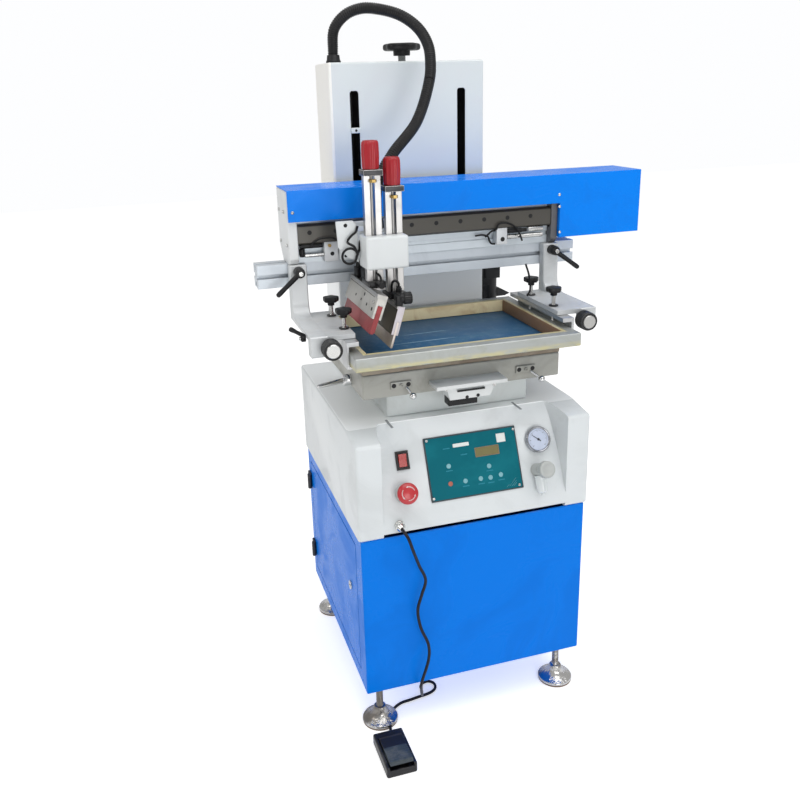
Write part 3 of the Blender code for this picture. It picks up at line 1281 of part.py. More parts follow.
def pedal():
    """The foot pedal on the floor, its treadle and its cord to the gland in the deck's lip."""
    wide, deep, tall = PEDAL_SIZE
    x, y = PEDAL_PLACE
    rear, front = y + deep / 2, y - deep / 2
    base = box("pedal_base", (x - wide / 2, x + wide / 2), (front, rear), (0.0, tall))
    soften(base, 0.003, 2)
    inside = wide / 2 - PEDAL_WALL
    well = box("pedal_well", (x - inside, x + inside), (front - 0.01, rear - 0.016), (PEDAL_FLOOR, tall + 0.01))
    add(cut(base, well), BLACK, "machine")
    side = [
        (rear - 0.018, PEDAL_FLOOR + 0.004),
        (rear - 0.018, 0.024),
        (rear - 0.024, 0.026),
        (front + 0.004, 0.033),
        (front + 0.001, 0.030),
        (front + 0.001, 0.026),
        (rear - 0.030, PEDAL_FLOOR + 0.004),
    ]
    tread = slab("pedal_treadle", side, "X", x - inside + TREADLE_SIDE_GAP, x + inside - TREADLE_SIDE_GAP)
    pin_y, pin_z = TREADLE_AXIS
    pin_ends = [(x + end * (inside - RUN), pin_y, pin_z) for end in (-1, 1)]
    add(fuse(tread, rod("treadle_pin", *pin_ends, TREADLE_PIN_RADIUS, sides=12)), GREY, "treadle")
    gx, gz = GLAND_PLACE
    route = [
        (gx, DECK_FRONT - 0.0207, gz),
        (gx, DECK_FRONT - 0.0290, gz),
        (gx + 0.004, DECK_FRONT - 0.0400, gz - 0.007),
        (gx + 0.012, DECK_FRONT - 0.0400, gz - 0.032),
        (gx + 0.029, DECK_FRONT - 0.024, gz - 0.078),
        (gx + 0.044, DECK_FRONT - 0.016, gz - 0.118),
        (gx + 0.036, DECK_FRONT - 0.014, gz - 0.150),
        (gx + 0.028, DECK_FRONT - 0.014, gz - 0.180),
        (gx + 0.032, DECK_FRONT - 0.016, gz - 0.218),
        (gx + 0.047, DECK_FRONT - 0.018, gz - 0.262),
        (gx + 0.046, DECK_FRONT - 0.020, gz - 0.292),
        (gx + 0.030, DECK_FRONT - 0.021, gz - 0.344),
        (gx + 0.022, DECK_FRONT - 0.014, gz - 0.395),
        (gx + 0.024, 0.004, gz - 0.432),
        (gx + 0.036, 0.036, CORD_RADIUS + 0.001),
        (gx + 0.060, 0.070, CORD_RADIUS + 0.0006),
        (gx + 0.088, 0.062, CORD_RADIUS + 0.0006),
        (gx + 0.082, 0.030, CORD_RADIUS + 0.0006),
        (gx + 0.050, 0.012, CORD_RADIUS + 0.0006),
        (gx + 0.014, 0.012, CORD_RADIUS + 0.0006),
        (gx - 0.004, -0.006, CORD_RADIUS + 0.0006),
        (x + 0.016, y + deep / 2 + 0.018, 0.0065),
        (x + 0.010, y + deep / 2 + 0.008, 0.009),
        (x + 0.010, y + deep / 2 + SEAT, 0.009),
    ]
    loose = smooth_route(route[1:-1], 0.014)
    loose[:, 2] = np.maximum(loose[:, 2], CORD_RADIUS + SEAT)
    add_line("pedal_cord", np.vstack([route[:1], loose, route[-1:]]), CORD_RADIUS, "machine", 2)


levelling_feet()
cabinet()
deck()
instruments()
bed()
column()
hose()
beam()
frame_rail()
arms()
screen()
carriage()
print_units()
pedal()
joints["machine"][0].location = (-ORIGIN_X, -ORIGIN_Y, 0.0)
bpy.context.view_layer.update()
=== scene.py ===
import json
import math

import bpy
import numpy as np
from mathutils import Matrix, Vector

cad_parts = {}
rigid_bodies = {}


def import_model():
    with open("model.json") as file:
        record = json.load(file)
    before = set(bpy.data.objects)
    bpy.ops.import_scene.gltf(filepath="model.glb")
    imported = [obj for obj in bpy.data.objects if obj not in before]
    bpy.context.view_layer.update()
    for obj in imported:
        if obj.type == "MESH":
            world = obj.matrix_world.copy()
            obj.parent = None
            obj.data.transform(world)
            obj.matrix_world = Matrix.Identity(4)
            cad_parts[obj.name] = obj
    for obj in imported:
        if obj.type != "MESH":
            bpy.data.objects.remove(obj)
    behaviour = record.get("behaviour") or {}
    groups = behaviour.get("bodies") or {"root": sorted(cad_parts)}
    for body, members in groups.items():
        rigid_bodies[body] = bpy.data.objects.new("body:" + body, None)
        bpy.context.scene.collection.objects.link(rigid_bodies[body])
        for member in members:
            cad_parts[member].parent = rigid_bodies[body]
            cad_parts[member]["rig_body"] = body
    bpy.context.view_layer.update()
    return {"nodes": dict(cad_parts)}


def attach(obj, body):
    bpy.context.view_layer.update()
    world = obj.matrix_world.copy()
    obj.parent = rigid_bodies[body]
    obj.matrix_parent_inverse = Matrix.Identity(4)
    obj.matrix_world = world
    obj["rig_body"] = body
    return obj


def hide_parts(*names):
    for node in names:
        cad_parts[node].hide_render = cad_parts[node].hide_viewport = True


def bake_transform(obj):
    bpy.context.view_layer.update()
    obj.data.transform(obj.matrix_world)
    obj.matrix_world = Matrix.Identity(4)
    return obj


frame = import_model()

# ---------------------------------------------------------------------------------------------------------
# Viewpoint, floor and light
# The camera stands in front and to the left, above the print bed, turned down at the machine on its pale
# floor, in an even white surround. A broad light hangs overhead, a key light front right, a low one in
# front that reaches under the beam, and a weak warm one on the left.

TURNED, TILTED, LEANING = math.radians(16.6409), math.radians(18.1645), math.radians(-1.7066)
ahead = np.array([math.sin(TURNED) * math.cos(TILTED), math.cos(TURNED) * math.cos(TILTED), -math.sin(TILTED)])
level = np.array([math.cos(TURNED), -math.sin(TURNED), 0.0])
above = np.cross(level, ahead)
across = math.cos(LEANING) * level + math.sin(LEANING) * above
upward = math.cos(LEANING) * above - math.sin(LEANING) * level

CAMERA_AT = (-0.6204, -1.56415, 1.2234)
FOCAL_LENGTH, SHIFT_ACROSS, SHIFT_UP = 38.079, 0.009253, -0.0422
camera = bpy.data.objects.new("camera", bpy.data.cameras.new("camera"))
turn = np.stack([across, upward, -ahead], axis=1)
camera.matrix_world = Matrix([(*row, at) for row, at in zip(turn, CAMERA_AT)] + [(0.0, 0.0, 0.0, 1.0)])
camera.data.lens = FOCAL_LENGTH
camera.data.shift_x, camera.data.shift_y = SHIFT_ACROSS, SHIFT_UP
bpy.context.scene.collection.objects.link(camera)
bpy.context.scene.camera = camera
bpy.context.scene.view_settings.view_transform = "Standard"


def node(tree, kind, into=None, **settings):
    """A shader node with its settings; into gives each input a constant or another node's output."""
    made = tree.nodes.new("ShaderNode" + kind)
    for name, value in settings.items():
        setattr(made, name, value)
    for socket, value in (into or {}).items():
        if isinstance(value, bpy.types.NodeSocket):
            tree.links.new(value, made.inputs[socket])
        else:
            made.inputs[socket].default_value = value
    return made


def reckon(tree, operation, *values):
    """The result of one sum on shader values."""
    return node(tree, "Math", dict(enumerate(values)), operation=operation).outputs[0]


def softbox(name, place, aim, size, power, colour=(1.0, 1.0, 1.0)):
    """A square studio light at a place, facing a point."""
    lamp = bpy.data.objects.new(name, bpy.data.lights.new(name, "AREA"))
    lamp.data.size = size
    lamp.data.energy = power
    lamp.data.color = colour
    lamp.location = place
    lamp.rotation_mode = "QUATERNION"
    lamp.rotation_quaternion = (Vector(aim) - Vector(place)).to_track_quat("-Z", "Y")
    bpy.context.scene.collection.objects.link(lamp)


softbox("overhead_light", (0.2, -0.6, 3.2), (0.0, 0.0, 0.8), 2.4, 36.0)
softbox("key_light", (1.3, -2.6, 3.3), (0.0, 0.0, 0.7), 1.1, 10.0, (1.0, 0.99, 0.97))
softbox("front_light", (0.1, -2.7, 0.95), (-0.05, 0.1, 0.85), 0.9, 10.5)
softbox("side_light", (-2.6, -0.4, 2.4), (-0.1, 0.15, 0.9), 1.2, 16.0, (1.0, 0.97, 0.92))

surround = bpy.data.worlds.new("surround")
surround.use_nodes = True
seen_white = node(surround.node_tree, "LightPath").outputs["Is Camera Ray"]
glow = reckon(surround.node_tree, "MULTIPLY_ADD", seen_white, 0.46, 0.54)
background = surround.node_tree.nodes["Background"]
background.inputs["Color"].default_value = (0.985, 0.99, 1.0, 1.0)
surround.node_tree.links.new(glow, background.inputs["Strength"])
bpy.context.scene.world = surround

FLOOR_REACH = 9.0
floor_corners = [(FLOOR_REACH * x, FLOOR_REACH * y, 0.0) for x, y in ((-1, -1), (1, -1), (1, 1), (-1, 1))]
floor_mesh = bpy.data.meshes.new("studio_floor")
floor_mesh.from_pydata(floor_corners, [], [(0, 1, 2, 3)])
studio_floor = bpy.data.objects.new("studio_floor", floor_mesh)
floor_paint = bpy.data.materials.new("studio_floor_paint")
floor_paint.use_nodes = True
floor_shader = floor_paint.node_tree.nodes["Principled BSDF"]
floor_shader.inputs["Base Color"].default_value = (0.93, 0.93, 0.92, 1.0)
floor_shader.inputs["Roughness"].default_value = 0.8
floor_shader.inputs["Emission Color"].default_value = (1.0, 1.0, 1.0, 1.0)
floor_view = node(floor_paint.node_tree, "LightPath").outputs["Is Camera Ray"]
floor_glow = reckon(floor_paint.node_tree, "MULTIPLY_ADD", floor_view, 0.30, 0.22)
floor_paint.node_tree.links.new(floor_glow, floor_shader.inputs["Emission Strength"])
floor_mesh.materials.append(floor_paint)
bpy.context.scene.collection.objects.link(studio_floor)

# ---------------------------------------------------------------------------------------------------------
# Foot pedal's cord and its gland
# A round black PVC cord, six millimetres thick, from a plated gland in the deck's front lip down the
# cabinet's face, in one loose loop on the floor, and into the back of the pedal.


def mix(tree, share, first, second):
    """A colour between two others by a mask."""
    return node(tree, "Mix", {0: share, 6: first, 7: second}, data_type="RGBA").outputs[2]


def spread(tree, value, low, high, to_low=0.0, to_high=1.0):
    """A value's range from low to high, laid out smoothly from to_low to to_high and held beyond both."""
    into = {"Value": value, "From Min": low, "From Max": high, "To Min": to_low, "To Max": to_high}
    return node(tree, "MapRange", into, interpolation_type="SMOOTHSTEP").outputs["Result"]


def shader_group(name, inputs, outputs):
    """An empty node group with named sockets, and its input and output nodes."""
    tree = bpy.data.node_groups.new(name, "ShaderNodeTree")
    for label, kind in inputs:
        tree.interface.new_socket(label, in_out="INPUT", socket_type="NodeSocket" + kind)
    for label, kind in outputs:
        tree.interface.new_socket(label, in_out="OUTPUT", socket_type="NodeSocket" + kind)
    return tree, tree.nodes.new("NodeGroupInput"), tree.nodes.new("NodeGroupOutput")


# How a used surface changes: dust that settles on what faces up, smudges and rubs anywhere, and edges
# that show where they have been touched.
use_marks, given, taken = shader_group("use_marks", [("Size", "Float"), ("Edge", "Float")],
                                       [("Dust", "Float"), ("Smudge", "Float"), ("Edges", "Float"),
                                        ("Rounded", "Vector")])
place = node(use_marks, "TexCoord").outputs["Object"]
facing = node(use_marks, "NewGeometry").outputs["Normal"]
softened = node(use_marks, "Bevel", {"Radius": given.outputs["Edge"]}, samples=4).outputs["Normal"]
height = node(use_marks, "SeparateXYZ", {0: facing}).outputs["Z"]
specks = node(use_marks, "TexNoise",
              {"Vector": place, "Scale": given.outputs["Size"], "Detail": 7.0, "Roughness": 0.7})
patches = node(use_marks, "TexNoise",
               {"Vector": place, "Scale": 7.0, "Detail": 8.0, "Roughness": 0.6, "Distortion": 1.4})
specks, patches = specks.outputs["Fac"], patches.outputs["Fac"]
settled = reckon(use_marks, "MULTIPLY", spread(use_marks, height, 0.35, 0.95), spread(use_marks, specks, 0.44, 0.68))
alike = node(use_marks, "VectorMath", {0: softened, 1: facing}, operation="DOT_PRODUCT").outputs["Value"]
touched = reckon(use_marks, "MULTIPLY", spread(use_marks, alike, 0.995, 0.80), spread(use_marks, specks, 0.40, 0.62))
use_marks.links.new(settled, taken.inputs["Dust"])
use_marks.links.new(spread(use_marks, patches, 0.40, 0.70), taken.inputs["Smudge"])
use_marks.links.new(touched, taken.inputs["Edges"])
use_marks.links.new(softened, taken.inputs["Rounded"])

# The fine relief of a surface: an even noise for sprayed or cast skins, drawn out along one axis for
# brushed and extruded metal.
fine_relief, given, taken = shader_group("fine_relief", [("Scale", "Float"), ("Drawn", "Vector")],
                                         [("Height", "Float")])
place = node(fine_relief, "TexCoord").outputs["Object"]
drawn = node(fine_relief, "VectorMath", {0: place, 1: given.outputs["Drawn"]}, operation="MULTIPLY").outputs["Vector"]
grain = node(fine_relief, "TexNoise",
             {"Vector": drawn, "Scale": given.outputs["Scale"], "Detail": 3.0, "Roughness": 0.55})
fine_relief.links.new(grain.outputs["Fac"], taken.inputs["Height"])


def finish(name, colour, roughness, metallic=0.0, coat=0.0, shade=None, shade_share=0.5, dust=0.0,
           dust_colour=(0.62, 0.60, 0.56), edge=0.0, edge_colour=(0.7, 0.7, 0.7), grain_scale=700.0,
           drawn=(1.0, 1.0, 1.0), depth=0.00012, swing=0.10, size=26.0, soft_edge=0.0012, bends=1.45):
    """A surface finish: its colour drifts towards a shade in smudges, takes dust on top and rubs through
    to another colour at the edges, over a fine relief. Roughness swings with the same masks."""
    material = bpy.data.materials.new(name)
    material.use_nodes = True
    tree = material.node_tree
    shader = tree.nodes["Principled BSDF"]
    marks = node(tree, "Group", node_tree=use_marks)
    marks.inputs["Size"].default_value = size
    marks.inputs["Edge"].default_value = soft_edge
    relief = node(tree, "Group", node_tree=fine_relief)
    relief.inputs["Scale"].default_value = grain_scale
    relief.inputs["Drawn"].default_value = drawn
    shade = shade or tuple(value * 0.82 for value in colour)
    tone = mix(tree, spread(tree, marks.outputs["Smudge"], 0.0, 1.0, 0.0, shade_share), (*colour, 1.0), (*shade, 1.0))
    tone = mix(tree, spread(tree, marks.outputs["Dust"], 0.0, 1.0, 0.0, dust), tone, (*dust_colour, 1.0))
    tone = mix(tree, spread(tree, marks.outputs["Edges"], 0.0, 1.0, 0.0, edge), tone, (*edge_colour, 1.0))
    polish = spread(tree, marks.outputs["Smudge"], 0.0, 1.0, roughness - swing / 2, roughness + swing / 2)
    polish = reckon(tree, "MULTIPLY_ADD", marks.outputs["Dust"], 0.25 * dust, polish)
    bump = node(tree, "Bump",
                {"Height": relief.outputs["Height"], "Distance": depth, "Strength": 0.6,
                 "Normal": marks.outputs["Rounded"]})
    tree.links.new(tone, shader.inputs["Base Color"])
    tree.links.new(polish, shader.inputs["Roughness"])
    tree.links.new(bump.outputs["Normal"], shader.inputs["Normal"])
    shader.inputs["Metallic"].default_value = metallic
    shader.inputs["Coat Weight"].default_value = coat
    shader.inputs["Coat Roughness"].default_value = 0.12
    shader.inputs["IOR"].default_value = bends
    return material


def smooth_route(points, spacing):
    """Points at an even spacing along a centripetal Catmull-Rom curve: between two given points it is the
    weighted blend of the lines through them and their neighbours, with knots at the square root of the
    distances."""
    points = np.array(points, float)
    ends = np.vstack([2 * points[0] - points[1], points, 2 * points[-1] - points[-2]])
    gaps = np.sqrt(np.linalg.norm(np.diff(ends, axis=0), axis=1))
    k0 = np.zeros((len(points) - 1, 1, 1))
    k1, k2, k3 = (k0 + np.cumsum(np.stack([gaps[:-2], gaps[1:-1], gaps[2:]]), axis=0)[i][:, None, None]
                  for i in range(3))
    p0, p1, p2, p3 = (ends[i : len(ends) - 3 + i][:, None, :] for i in range(4))
    t = k1 + (k2 - k1) * np.linspace(0, 1, 24, endpoint=False)[None, :, None]
    a1 = ((k1 - t) * p0 + (t - k0) * p1) / (k1 - k0)
    a2 = ((k2 - t) * p1 + (t - k1) * p2) / (k2 - k1)
    a3 = ((k3 - t) * p2 + (t - k2) * p3) / (k3 - k2)
    b1 = ((k2 - t) * a1 + (t - k0) * a2) / (k2 - k0)
    b2 = ((k3 - t) * a2 + (t - k1) * a3) / (k3 - k1)
    fine = np.vstack([(((k2 - t) * b1 + (t - k1) * b2) / (k2 - k1)).reshape(-1, 3), points[-1:]])
    run = np.concatenate([[0], np.cumsum(np.linalg.norm(np.diff(fine, axis=0), axis=1))])
    steps = np.linspace(0, run[-1], max(2, round(run[-1] / spacing) + 1))
    return np.stack([np.interp(steps, run, fine[:, axis]) for axis in range(3)], axis=1)


def loft(rings):
    """The skin over a stack of rings, each a row of points: quads between neighbours and one face over
    each end. Its volume, a third of the sum of point times face normal, tells if it faces outwards."""
    rings = np.asarray(rings, float)
    count, steps = rings.shape[:2]
    points = rings.reshape(-1, 3)
    low = np.arange(count - 1)[:, None] * steps
    here, after = low + np.arange(steps), low + (np.arange(steps) + 1) % steps
    quads = np.stack([here, after, after + steps, here + steps], axis=-1).reshape(-1, 4)
    first, last = np.arange(steps)[::-1], (count - 1) * steps + np.arange(steps)
    middle = points.mean(axis=0)
    a, b, c, d = (points[quads[:, i]] - middle for i in range(4))
    volume = np.einsum("ij,ij->", a, np.cross(b, c)) + np.einsum("ij,ij->", a, np.cross(c, d))
    for cap in (first, last):
        fan = points[cap] - middle
        volume += np.einsum("ij,ij->", np.broadcast_to(fan[0], fan[1:-1].shape), np.cross(fan[1:-1], fan[2:]))
    faces = [*quads.tolist(), first.tolist(), last.tolist()]
    return points, faces if volume > 0 else [face[::-1] for face in faces]


def axes_of(along):
    """Two directions square to a given one and to each other."""
    along = np.array(along, float) / np.linalg.norm(along)
    side = np.cross(along, (0.0, 0.0, 1.0) if abs(along[2]) < 0.9 else (0.0, 1.0, 0.0))
    side /= np.linalg.norm(side)
    return side, np.cross(along, side), along


def turned(profile, at, along=(0.0, 0.0, 1.0), steps=40, start=0.0):
    """A turned piece: each (radius, height) of the profile becomes a circle about the axis, at + height *
    along + radius * (cos t * side + sin t * other)."""
    side, other, along = axes_of(along)
    radius, rise = np.array(profile, float).T[:, :, None, None]
    t = (start + np.linspace(0, 2 * math.pi, steps, endpoint=False))[None, :, None]
    return loft(np.array(at) + rise * along + radius * (np.cos(t) * side + np.sin(t) * other))


def piece(name, shapes, material, body, smooth=35.0):
    """One object from several closed shapes, riding on a body, shaded smooth below an angle."""
    points, faces, start = [], [], 0
    for shape_points, shape_faces in shapes:
        points.append(shape_points)
        faces += [[start + i for i in face] for face in shape_faces]
        start += len(shape_points)
    mesh = bpy.data.meshes.new(name)
    mesh.from_pydata(np.vstack(points).tolist(), [], faces)
    mesh.shade_smooth()
    mesh.set_sharp_from_angle(angle=math.radians(smooth))
    mesh.materials.append(material)
    made = bpy.data.objects.new(name, mesh)
    bpy.context.scene.collection.objects.link(made)
    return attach(made, body)


cord_rubber = finish("cord_rubber", (0.005, 0.005, 0.010), 0.44, shade=(0.012, 0.012, 0.020), dust=0.08,
                     grain_scale=900.0, depth=0.00005, bends=1.35)
plated_brass = finish("plated_brass", (0.72, 0.72, 0.70), 0.24, 1.0, shade=(0.50, 0.48, 0.44), dust=0.2,
                      grain_scale=1500.0, depth=0.00002, soft_edge=0.0004)

TO_FRONT, TO_LEFT, TO_RIGHT, UP = (0, -1, 0), (-1, 0, 0), (1, 0, 0), (0, 0, 1)
CABINET_FRONT = -0.223151
CORD_RADIUS = 0.003
gland_x, gland_y, gland_z = -0.217, CABINET_FRONT - 0.004, 0.456
pedal_x, pedal_rear = -0.261, -0.250151
lying = CORD_RADIUS + 0.0006
cord_points = [
    (gland_x, gland_y - 0.0290, gland_z),
    (gland_x + 0.004, gland_y - 0.0400, gland_z - 0.007),
    (gland_x + 0.012, gland_y - 0.0400, gland_z - 0.032),
    (gland_x + 0.029, gland_y - 0.024, gland_z - 0.078),
    (gland_x + 0.044, gland_y - 0.016, gland_z - 0.118),
    (gland_x + 0.036, gland_y - 0.014, gland_z - 0.150),
    (gland_x + 0.028, gland_y - 0.014, gland_z - 0.180),
    (gland_x + 0.032, gland_y - 0.016, gland_z - 0.218),
    (gland_x + 0.047, gland_y - 0.018, gland_z - 0.262),
    (gland_x + 0.046, gland_y - 0.020, gland_z - 0.292),
    (gland_x + 0.030, gland_y - 0.021, gland_z - 0.344),
    (-0.184, -0.2370, 0.0880),
    (-0.173, -0.2080, 0.0500),
    (-0.161, -0.1700, 0.0230),
    (-0.1535, -0.1440, 0.0090),
    (-0.1505, -0.1300, 0.0050),
    (-0.1420, -0.1195, lying),
    (-0.1280, -0.1185, lying),
    (-0.1195, -0.1290, lying),
    (-0.1220, -0.1430, lying),
    (-0.1330, -0.1520, lying),
    (-0.1480, -0.1560, lying),
    (-0.1640, -0.1580, lying),
    (-0.1850, -0.1610, lying),
    (-0.2060, -0.1640, lying),
    (-0.2270, -0.1780, lying),
    (-0.2370, -0.2040, lying),
    (pedal_x + 0.0140, pedal_rear + 0.0260, 0.0055),
    (pedal_x + 0.0106, pedal_rear + 0.0120, 0.0082),
]
cord_out = (gland_x, gland_y - 0.0207, gland_z)
loose = smooth_route(cord_points, 0.005)
loose[:, 2] = np.maximum(loose[:, 2], CORD_RADIUS + 0.0003)
cord_route = np.vstack([cord_out, loose, (pedal_x + 0.010, pedal_rear + 0.0003, 0.009)])
cord_line = bpy.data.curves.new("pedal_lead", "CURVE")
cord_line.dimensions = "3D"
cord_line.bevel_depth = CORD_RADIUS
cord_line.bevel_resolution = 4
cord_line.use_fill_caps = True
cord_spline = cord_line.splines.new("POLY")
cord_spline.points.add(len(cord_route) - 1)
cord_spline.points.foreach_set("co", np.hstack([cord_route, np.ones((len(cord_route), 1))]).ravel())
cord_spline.use_smooth = True
cord_line.materials.append(cord_rubber)
pedal_lead = bpy.data.objects.new("pedal_lead", cord_line)
bpy.context.scene.collection.objects.link(pedal_lead)
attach(pedal_lead, "machine")
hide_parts("pedal_cord")

gland_rings = [(0.0095, 0.0003), (0.0095, 0.0030), (0.0091, 0.0040), (0.0083, 0.0046), (0.0085, 0.0060),
               (0.0085, 0.0115), (0.0080, 0.0125), (0.0070, 0.0150), (0.0052, 0.0180), (0.0045, 0.0190),
               (0.0045, 0.0199)]
gland_hexagon = [(0.0100, 0.0048), (0.0102, 0.0054), (0.0102, 0.0096), (0.0100, 0.0102)]
gland_at = (gland_x, gland_y, gland_z)
gland = piece("cord_gland_nut",
              [turned(gland_rings, gland_at, TO_FRONT), turned(gland_hexagon, gland_at, TO_FRONT, 6)], plated_brass,
              "machine")
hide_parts("cord_gland")

# ---------------------------------------------------------------------------------------------------------
# Ribbed hose
# A black corrugated conduit that carries the air lines and cables from the column's top over to the
# carriage. Moulded in polyamide rings and held in a flange at each end.

CONDUIT_RADIUS = 0.0108
column_top, column_front = 1.2747, 0.137849
hose_x, hose_y = -0.199, column_front + 0.059
over_column = [
    (hose_x, hose_y, column_top + 0.0003),
    (hose_x, hose_y, column_top + 0.0253),
    (hose_x + 0.001, hose_y - 0.012, column_top + 0.0623),
    (hose_x + 0.020, hose_y - 0.030, column_top + 0.0873),
    (hose_x + 0.047, hose_y - 0.045, column_top + 0.0978),
    (hose_x + 0.074, hose_y - 0.060, column_top + 0.0963),
    (hose_x + 0.116, hose_y - 0.085, column_top + 0.0823),
    (hose_x + 0.144, hose_y - 0.110, column_top + 0.0563),
    (hose_x + 0.156, hose_y - 0.130, column_top + 0.0253),
    (hose_x + 0.155, hose_y - 0.145, column_top - 0.0057),
    (hose_x + 0.147, hose_y - 0.160, column_top - 0.0377),
]
into_x, into_y, into_z = -0.1835, -0.028151, 0.9756
to_carriage = [
    (into_x + 0.0965, into_y + 0.040, into_z + 0.188),
    (into_x + 0.0365, into_y + 0.010, into_z + 0.131),
    (into_x + 0.0085, into_y + 0.001, into_z + 0.092),
    (into_x, into_y, into_z + 0.055),
    (into_x, into_y, into_z + 0.025),
    (into_x, into_y, into_z),
]
RIB_PITCH, RIB_DEPTH = 0.0042, 0.0016
hose_route = smooth_route(over_column + to_carriage, RIB_PITCH / 6)
hose_split = int(np.argmin(np.linalg.norm(hose_route - np.array(over_column[-1]), axis=1)))


def pipe(route, size, beside, steps):
    """Circles round a route: at each of its points, size * (cos t * side + sin t * other), where side is
    square to the route and to a direction beside it, and other is square to both."""
    direction = np.gradient(route, axis=0)
    direction /= np.linalg.norm(direction, axis=1, keepdims=True)
    side = np.cross(direction, beside)
    side /= np.linalg.norm(side, axis=1, keepdims=True)
    other = np.cross(direction, side)
    t = np.linspace(0, 2 * math.pi, steps, endpoint=False)[None, :, None]
    return loft(route[:, None, :] + size * (np.cos(t) * side[:, None, :] + np.sin(t) * other[:, None, :]))


def ribbed(route, steps=28):
    """A corrugated tube: along the route, the conduit's radius falls by the rib's depth times a rounded
    wave of the run over the ribs' pitch."""
    run = np.concatenate([[0], np.cumsum(np.linalg.norm(np.diff(route, axis=0), axis=1))])
    wave = np.clip(0.5 - 0.75 * np.cos(2 * math.pi * run / RIB_PITCH), 0.0, 1.0)
    return pipe(route, (CONDUIT_RADIUS - RIB_DEPTH * (1 - wave))[:, None, None], (0.55, 0.83, 0.0), steps)


hose_polyamide = finish("hose_polyamide", (0.010, 0.010, 0.011), 0.40, shade=(0.022, 0.022, 0.024), dust=0.15,
                        grain_scale=1200.0, depth=0.00003, bends=1.38)
arch = piece("ribbed_hose_upper", [ribbed(hose_route[: hose_split + 1])], hose_polyamide, "machine", 80.0)
drop = piece("ribbed_hose_lower", [ribbed(hose_route[hose_split:])], hose_polyamide, "head", 80.0)
hose_meets = tuple(hose_route[hose_split])
for length_of_hose, node_name, bodies, start, end in (
    (arch, "hose_upper", ("machine", "head"), (hose_x, hose_y, column_top + 0.02), hose_meets),
    (drop, "hose_lower", ("head", "carriage"), hose_meets, (into_x, into_y, into_z + 0.02)),
):
    length_of_hose.parent = None
    del length_of_hose["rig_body"]
    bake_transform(length_of_hose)
    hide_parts(node_name)

hose_flange = [(0.0150, 0.0003), (0.0150, 0.0040), (0.0135, 0.0060), (0.0125, 0.0150), (0.0118, 0.0160)]
for label, flange_at, body in (("column", (hose_x, hose_y, column_top), "machine"),
                               ("carriage", (into_x, into_y, into_z - 0.0006), "carriage")):
    piece("hose_flange_" + label, [turned(hose_flange, flange_at)], hose_polyamide, body)

# ---------------------------------------------------------------------------------------------------------
# Levelling feet
# Four spun stainless bells on a threaded stem, each with a hexagon lock nut under the cabinet. Their
# rims have gone brown where they stand on the floor.


def threaded(radius, groove, heights):
    """The profile of a screw thread: its radius falls by the groove's depth at every second height."""
    return np.stack([radius - groove * (np.arange(len(heights)) % 2), heights], axis=1)


# Partly painted reflection: the stainless colour drifts to a much darker shade in patches, standing for dark streaks
# reflected in the spun bells.
foot_steel = finish("foot_stainless", (0.62, 0.61, 0.59), 0.24, 1.0, shade=(0.20, 0.18, 0.16), shade_share=0.9,
                    dust=0.15, grain_scale=85.0, drawn=(1.0, 1.0, 0.0), depth=0.0050)
foot_rim = finish("foot_rim_stain", (0.20, 0.13, 0.09), 0.5, 0.5, shade=(0.33, 0.27, 0.2), grain_scale=500.0,
                  depth=0.0001)
UNDER_CABINET = 0.0927
bell = [(0.0350, 0.0040), (0.0360, 0.0046), (0.0360, 0.0068), (0.0348, 0.0088), (0.0300, 0.0108), (0.0235, 0.0142),
        (0.0186, 0.0188), (0.0156, 0.0240), (0.0138, 0.0296), (0.0128, 0.0330), (0.0110, 0.0352), (0.0072, 0.0360)]
stem = [*threaded(0.0070, 0.0007, np.arange(0.0375, 0.0815, 0.00125)).tolist(), (0.0068, UNDER_CABINET)]
foot_sole = [(0.0340, 0.0), (0.0354, 0.0008), (0.0357, 0.0038)]
nut = [(0.0096, 0.0823), (0.0105, 0.0829), (0.0105, 0.0917), (0.0096, 0.0923)]
for row, foot_y in (("front", -0.190151), ("rear", 0.221849)):
    for side, foot_x in (("left", -0.258), ("right", 0.136)):
        at = (foot_x, foot_y, 0.0)
        foot = piece(f"levelling_foot_{row}_{side}",
                     [turned(bell + stem, at, steps=48), turned(nut, at, steps=6, start=0.3)], foot_steel, "machine")
        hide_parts(f"foot_{row}_{side}")
        pad = piece(f"foot_rim_{row}_{side}", [turned(foot_sole, at, steps=48)], foot_rim, "machine")

# ---------------------------------------------------------------------------------------------------------
# Cabinet and door
# A folded steel box, powder coated a bright blue with a fine orange-peel skin. The door is a lipped tray
# on two black hinges at the rear of the left side, with a round cam lock near its front edge.


def coat(node_name, material):
    """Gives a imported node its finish."""
    mesh = frame["nodes"][node_name].data
    mesh.materials.clear()
    mesh.materials.append(material)


blue_coat = finish("blue_powder_coat", (0.000, 0.185, 0.760), 0.34, shade=(0.000, 0.160, 0.680), shade_share=0.6,
                   dust=0.10, edge=0.35, edge_colour=(0.06, 0.30, 0.86), grain_scale=420.0, depth=0.00022, swing=0.14,
                   bends=1.18)
coat("cabinet_shell", blue_coat)
coat("cabinet_door", blue_coat)
hinge_black = finish("hinge_black", (0.022, 0.022, 0.024), 0.42, shade=(0.05, 0.05, 0.055), dust=0.3, edge=0.3,
                     edge_colour=(0.25, 0.25, 0.25), grain_scale=900.0)
for label in ("upper", "lower"):
    coat("door_hinge_" + label, hinge_black)

